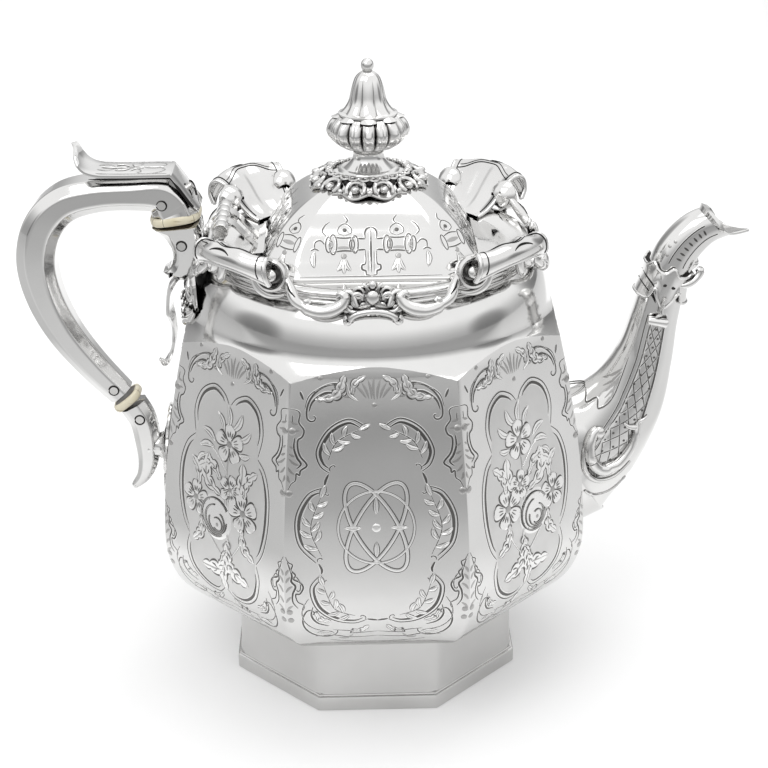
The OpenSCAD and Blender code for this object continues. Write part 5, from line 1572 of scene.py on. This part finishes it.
def make_spout():
    shape = Shape()
    a = np.linspace(0, 2 * np.pi, 144, endpoint=False)
    t = np.linspace(0, 1, 190)
    aa, tt = np.meshgrid(a, t, indexing="ij")
    u = tt * spout_end(aa)
    outer = spout_point(u, aa)
    root = outer[:, :1].copy()
    gap = root[..., 0] - panel_half(root[..., 2]) + 0.3
    root[..., 2] -= ROOT_DROP * gap * np.clip(-np.cos(a), 0, 1)[:, None] ** 0.5
    root[..., 0] = panel_half(root[..., 2]) - 0.3
    outer = np.concatenate([root, outer], 1)
    shape.grid(outer, wrap_u=True, flip=False)
    # inside of the spout in the darker inside silver: painted shade
    inner = spout_point(u[::2, ::3], aa[::2, ::3], 1.0)
    shape.grid(inner, wrap_u=True, mark=1, flip=True)
    ends = np.stack([spout_point(u[:, -1], a), spout_point(u[:, -1], a, 0.5),
                     spout_point(u[:, -1], a, 1.0)], 1)
    shape.grid(ends, wrap_u=True, flip=False)
    hood = np.abs(((a + np.pi) % (2 * np.pi)) - np.pi) < 1.75
    flange_at = a[hood][np.argsort(((a[hood] + np.pi) % (2 * np.pi)))]
    flange = spout_point(spout_end(flange_at) - 0.004, flange_at, -0.3)
    shape.tube(flange, np.interp(np.cos(flange_at), [-0.2, 0.3, 1], [0.8, 1.3, 1.3]), 4, up=(0.9, 0, 0.4))
    lip = spout_point(u[:, -1], a, 0.3)
    shape.tube(np.concatenate([lip, lip[:1]]), 0.62, 8, up=(0.3, 0.2, 0.9))
    shape.build("spout_sheet", "pot", [HANDLE, SHADED_INSIDE], "engraved_silver", ["spout_tube"], crease=50)

    one = Chaser(spout_surface, mirror=False)
    us = np.linspace(0.045, 0.47, 60)
    middle, half = lattice_place(us)
    edge_low, edge_high = spout_uv(us, middle - half - 0.2), spout_uv(us, middle + half + 0.2)
    around = np.concatenate([edge_high[::-1], edge_low])
    one.stroke(around, 0.7)
    outer_rim = np.concatenate([spout_uv(us, middle + half + 1.9)[::-1],
                                spout_uv(us, middle - half - 1.9)[8:]])
    one.stroke(outer_rim[:58], 0.5)
    for lean in (1, -1):
        for start in np.arange(-0.06, 0.47, 0.042):
            q = np.linspace(0, 1, 24)
            uu = start + q * (0.10 - 0.05 * start)
            ok = (uu > 0.055) & (uu < 0.47)
            if ok.sum() < 4:
                continue
            uu, f = uu[ok], (2 * q[ok] - 1) * lean
            m, h = lattice_place(uu)
            one.stroke(spout_uv(uu, m + h * 0.98 * f), 0.5)
    for i, uc in enumerate(np.arange(0.075, 0.46, 0.0255)):
        m, h = lattice_place(uc)
        for f in ((-0.5, 0.5) if i % 2 else (-0.05, -0.85, 0.8)):
            if h > 3.5 or abs(f) < 0.6:
                one.disc(spout_uv(uc, m + h * f), 0.5, 0.12, 0, n=8)
    for v in (-2.9, 2.7):
        uu = np.linspace(0.635, 0.84 if v < 0 else 0.80, 30)
        one.stroke(spout_uv(uu, np.interp(uu, [0.63, 0.85], [v, v * 0.8])), 0.55)
    for uu in np.linspace(0.66, 0.79, 7):
        one.leaf(spout_uv(uu, -1.1), spout_uv(uu, 1.1), 0.7, 0, ([-0.5, 0, 0.5], [0, 0.03, 0], [0, 0]))
    for uu, v in ((0.655, 4.4), (0.68, 5.2), (0.70, 4.6)):
        one.disc(spout_uv(uu, v), 0.6, 0.2, 2, n=8)
    for k in range(5):
        one.leaf(spout_uv(0.27 + 0.01 * k, 7.6), spout_uv(0.19 + 0.016 * k, 8.6 + 1.1 * k), 0.8, 0.05,
                 SHADE)
    one.line([tuple(spout_uv(u, v)) for u, v in ((0.16, 22.0), (0.20, 16.4), (0.17, 14.0), (0.20, 11.8),
                                                 (0.18, 9.4), (0.23, 7.2), (0.34, 7.0))], 0.7, n=60)
    shape = Shape()
    shape.take(one, BOTH_SIDES)
    shape.build("spout_engraving", "pot", CUT_FINISH, "engraved_silver")


def on_spout(points, lift):
    pos, out = spout_surface(np.asarray(points, float))
    return pos + out * lift


def make_base_scrolls():
    """Large C scrolls round the lower end of the spout's side panels."""
    one = Shape()
    sweep = spline([(82.9, 93.6), (80.7, 91.4), (79.6, 86.6), (81.0, 80.8), (85.4, 77.4), (90.8, 79.4),
                    (95.4, 85.0), (97.6, 91.0), (98.4, 94.6), (101.6, 97.6)], 60)
    s = np.linspace(0, 1, 61)
    one.tube(on_spout(sweep, 0.5), np.interp(s, [0, 0.15, 0.45, 0.8, 1], [1.7, 2.2, 2.4, 1.2, 0.3]), 14)
    one.tube(on_spout(spline([(98.0, 93.0), (94.8, 93.4), (92.6, 95.2)], 12), 0.5),
             [1.3, 1.3, 1.2, 1.2, 1.1, 1.0, 0.9, 0.8, 0.7, 0.6, 0.5, 0.4, 0.2], 10)
    one.ball(on_spout([(83.3, 92.4)], 0.6)[0], (2.3, 1.6, 2.3), n=14)
    under = spline([(80.8, 92.0), (77.9, 86.0), (78.4, 78.4), (83.0, 73.6), (90.0, 73.8), (96.0, 79.0)], 50)
    one.tube(on_spout(under, 0.1), 0.9 * np.sin(np.pi * np.linspace(0.15, 0.95, 51)) ** 0.6 + 0.2, 10)
    # a dark tube of painted shade in the scroll's hollow
    hollow = spline([(80.0, 84.4), (82.2, 79.2), (87.0, 77.2)], 20)
    one.tube(on_spout(hollow, -0.3), 0.9 * np.sin(np.pi * np.linspace(0.1, 0.9, 21)), 8, mark=1)
    knee = spline([(78.6, 70.0), (83.0, 67.0), (90.0, 67.4), (95.0, 71.4)], 24)
    one.tube(on_spout(knee, 0.0), 0.6, 8)
    shape = Shape()
    shape.take(one, BOTH_SIDES)
    shape.build("spout_scroll_finish", "pot", [CAST, OXIDE_AND_PAINTED_SHADE], "cast_silver", ["spout_base_scrolls"])


def make_collar():
    """Cast shield round the spout: peaked upper edge, hollowed sides and a strap with a rolled end."""
    a = np.linspace(0, 2 * np.pi, 180, endpoint=False)
    off = np.abs(np.degrees(np.arcsin(np.clip(np.cos(a), -1, 1))))
    high = 0.603 + 0.024 * np.exp(-(off / 8.0) ** 2) + 0.018 * np.exp(-((off - 50) / 14.0) ** 2) + 0.006 * (
            off / 90) ** 2
    low = 0.518 + 0.034 * np.exp(-((off - 24) / 9.0) ** 2) - 0.016 * np.exp(-(off / 8.0) ** 2)
    shape = Shape()
    t = np.linspace(0, 1, 22)[:, None]
    u = low + (high - low) * t
    dish = 1.5 - 0.7 * np.sin(np.pi * t) ** 1.2 + 1.0 * np.exp(-(off / 14.0) ** 2) * np.sin(np.pi * t)
    aa = np.broadcast_to(a, u.shape)
    s = along(SPOUT_SIZE, u)
    c, d = np.cos(aa), np.sin(aa)
    v = (s[..., 0] + dish) * np.sign(c) * np.abs(c) ** (2 / BOXY)
    y = (s[..., 1] + dish) * np.sign(d) * np.abs(d) ** (2 / BOXY)
    p = swept(SPOUT_PATH, u, v, y)
    shape.grid(p, wrap_v=True, flip=True)
    for i, u_edge in ((0, low), (-1, high)):
        row = p[i]
        shape.tube(np.concatenate([row, row[:1]]), 0.55, 8, up=(0.3, 0.1, 0.9))
        inner = spout_point(u_edge, a, 0.2)
        # dark strip between the collar's edge and the spout: painted shade in the gap
        shape.grid(np.stack([row, inner], 0), wrap_v=True, mark=1, flip=i == 0)
    one = Shape()
    strap_face = on_spout(spline([(105.4, 143.6), (104.6, 139.8), (104.0, 136.2)], 14), 1.5)
    one.tube(strap_face, [1.9] * 15, 12, squash=0.35)
    axis = np.array([3.6, 0, -0.75])
    middle = on_spout([(103.4, 134.0)], 2.2)[0]
    ends = [middle - axis, middle - axis * 0.98, middle - axis * 0.85, middle, middle + axis * 0.85,
            middle + axis * 0.98, middle + axis]
    one.tube(ends, [0.9, 1.5, 1.75, 1.75, 1.75, 1.5, 0.9], 16)
    # dark end of the roll: painted shade in its opening
    one.tube([middle + axis * 0.97, middle + axis * 1.02], 0.8, 12, mark=1)
    for x, z in ((105.4, 147.8), (108.2, 146.8)):
        one.ball(on_spout([(x, z)], 1.9)[0], (0.7, 0.4, 0.45), mark=1, n=8)
    for points in ([(99.6, 150.6), (102.6, 146.4), (105.0, 143.0)],
                   [(98.6, 147.6), (101.0, 144.6), (102.6, 141.0)]):
        one.tube(on_spout(spline(points, 14), 1.0), swell(15, 0.1, 0.3), 8, mark=1)
    ear = spline([(110.6, -6.2, 146.6), (113.6, -6.6, 147.2), (116.6, -6.0, 148.8), (118.6, -5.2, 151.4),
                  (117.4, -4.8, 152.8)], 24)
    one.tube(ear, np.interp(np.linspace(0, 1, 25), [0, 0.3, 0.6, 0.85, 1], [1.2, 1.4, 1.3, 1.6, 1.0]), 14)
    shape.take(one, BOTH_SIDES)
    shape.build("spout_collar_finish", "pot", [CAST, OXIDE_AND_PAINTED_SHADE], "cast_silver", ["spout_collar"])


# ---------- stage ----------
# The floor is white in the picture and painted grey outside it, in front of the pot and beside it, where
# the
# pot mirrors it: painted shade. In metres: where the grey begins and deepens in front; where it begins and
# is full beside the picture, measured at Y = 0; and how much wider each side is for every metre further
# back.
FRONT_BEGINS, FRONT_DEEPENS, FRONT_FULL = -0.095, -0.24, -0.48
BESIDE_PICTURE = (0.165, 0.235)
PICTURE_SPREAD = 0.2135
WHITE_FLOOR = (0.94, 0.94, 0.94)
FRONT_GREY, FAR_FRONT_GREY = (0.62, 0.62, 0.62), (0.38, 0.38, 0.38)
RIGHT_GREY, LEFT_GREY = (0.72, 0.72, 0.72), (0.54, 0.54, 0.54)


def make_stage():
    mesh = bpy.data.meshes.new("studio_floor")
    reach = 14
    corners = [(-reach, -reach, 0), (reach, -reach, 0), (reach, reach, 0), (-reach, reach, 0)]
    mesh.from_pydata(corners, [], [(0, 1, 2, 3)])
    floor = bpy.data.objects.new("studio_floor", mesh)
    bpy.context.scene.collection.objects.link(floor)
    m, tree, shader, coords = nodes_of("studio_white")
    shader.inputs["Roughness"].default_value = 0.9
    shader.inputs["Specular IOR Level"].default_value = 0.0
    apart = tree.nodes.new("ShaderNodeSeparateXYZ")
    tree.links.new(coords.outputs["Object"], apart.inputs["Vector"])
    # painted shade: the floor greys in front of the pot and beside the picture
    near = spread(tree, apart.outputs["Y"], 0, 1, FRONT_DEEPENS, FRONT_BEGINS)
    middle = spread(tree, apart.outputs["Y"], 0, 1, FRONT_FULL, FRONT_DEEPENS)
    dim = mixed(tree, middle, FAR_FRONT_GREY, FRONT_GREY)
    open_floor = WHITE_FLOOR
    for sign, grey in ((1, RIGHT_GREY), (-1, LEFT_GREY)):
        across = tree.nodes.new("ShaderNodeVectorMath")
        across.operation = "DOT_PRODUCT"
        across.inputs[1].default_value = (sign, -PICTURE_SPREAD, 0)
        tree.links.new(coords.outputs["Object"], across.inputs[0])
        beside = spread(tree, across.outputs["Value"], 0, 1, *BESIDE_PICTURE)
        open_floor = mixed(tree, beside, open_floor, grey)
    tree.links.new(mixed(tree, near, dim, open_floor), shader.inputs["Base Color"])
    mesh.materials.append(m)


# Darker gaps in the light tent: direction, half angle in degrees, and how much light is left there
TENT_GAPS = [((-1.0, -0.25, 0.08), 15, 0.42), ((1.0, -0.20, 0.05), 13, 0.45),
             ((-0.6, 0.8, 0.25), 17, 0.4), ((0.7, 0.75, 0.22), 15, 0.4)]


def make_tent():
    world = bpy.data.worlds.new("light_tent")
    bpy.context.scene.world = world
    world.use_nodes = True
    tree = world.node_tree
    back = tree.nodes["Background"]
    coords = tree.nodes.new("ShaderNodeTexCoord")

    def toward(direction):
        dot = tree.nodes.new("ShaderNodeVectorMath")
        dot.operation = "DOT_PRODUCT"
        dot.inputs[1].default_value = Vector(direction).normalized()
        tree.links.new(coords.outputs["Generated"], dot.inputs[0])
        return dot.outputs["Value"]

    def smooth(value, low, high, to_low, to_high):
        m = tree.nodes.new("ShaderNodeMapRange")
        m.interpolation_type = "SMOOTHSTEP"
        for key, v in (("From Min", low), ("From Max", high), ("To Min", to_low), ("To Max", to_high)):
            m.inputs[key].default_value = v
        tree.links.new(value, m.inputs["Value"])
        return m.outputs["Result"]

    light = smooth(toward((0, 0, 1)), -0.05, 0.45, 0.50, 1.12)
    for direction, spread_angle, left in TENT_GAPS:
        inner = math.cos(math.radians(spread_angle * 0.5))
        outer = math.cos(math.radians(spread_angle * 1.5))
        gap = smooth(toward(direction), outer, inner, 1.0, left)
        times = tree.nodes.new("ShaderNodeMath")
        times.operation = "MULTIPLY"
        tree.links.new(light, times.inputs[0])
        tree.links.new(gap, times.inputs[1])
        light = times.outputs["Value"]
    tree.links.new(light, back.inputs["Color"])
    back.inputs["Strength"].default_value = 1.0


def make_lights():
    for name, place, size, energy in (("key_softbox", (-0.5, -0.7, 1.3), 0.8, 4),
                                      ("top_softbox", (0.2, 0.3, 1.5), 0.9, 3)):
        lamp = bpy.data.lights.new(name, "AREA")
        lamp.size, lamp.energy = size, energy
        o = bpy.data.objects.new(name, lamp)
        o.location = place
        o.rotation_mode = "QUATERNION"
        o.rotation_quaternion = (Vector(place) - Vector((0, 0, 0.1))).to_track_quat("Z", "Y")
        bpy.context.scene.collection.objects.link(o)


def make_camera():
    distance, aim = 0.6134, Vector((0.0046, 0, 0.10767))
    pitch, turn, roll = math.radians(23.43), math.radians(-1.2), math.radians(-0.6)
    back = Vector((math.sin(turn) * math.cos(pitch), -math.cos(turn) * math.cos(pitch), math.sin(pitch)))
    camera = bpy.data.objects.new("camera", bpy.data.cameras.new("camera"))
    camera.data.sensor_width = 36
    camera.data.lens = 77.44
    camera.data.clip_start = 0.01
    camera.location = aim + distance * back
    facing = (-back).to_track_quat("-Z", "Y").to_matrix() @ Matrix.Rotation(roll, 3, "Z")
    camera.rotation_mode = "QUATERNION"
    camera.rotation_quaternion = facing.to_quaternion()
    bpy.context.scene.collection.objects.link(camera)
    bpy.context.scene.camera = camera
    bpy.context.scene.view_settings.view_transform = "Standard"


FINISH = {"polished_silver": POLISHED, "engraved_silver": SHEET, "cast_silver": CAST,
          "silver_fittings": FITTING, "ivory": IVORY}
for part in frame["record"]["subparts"]:
    mesh = frame["nodes"][part["node"]].data
    mesh.materials.clear()
    mesh.materials.append(FINISH[part["material_slot"]])

make_foot()
make_body()
make_bezel()
make_lid()
make_finial()
make_engraving()
make_lid_engraving()
make_volutes()
make_rods()
make_cartouches()
make_shells()
make_gallery()
make_hinge()
make_grip()
make_strap()
make_disc("upper_disc_finish", "upper_insulator", (-68.4, 174.6), -8, 8.9, 9.3, 3.0)
make_disc("lower_disc_finish", "lower_insulator", (-90.4, 104.0), -38, 5.7, 5.9, 3.0)
make_sockets()
make_lower_plate()
make_upper_mount()
make_spout()
make_base_scrolls()
make_collar()
make_stage()
make_tent()
make_lights()
make_camera()
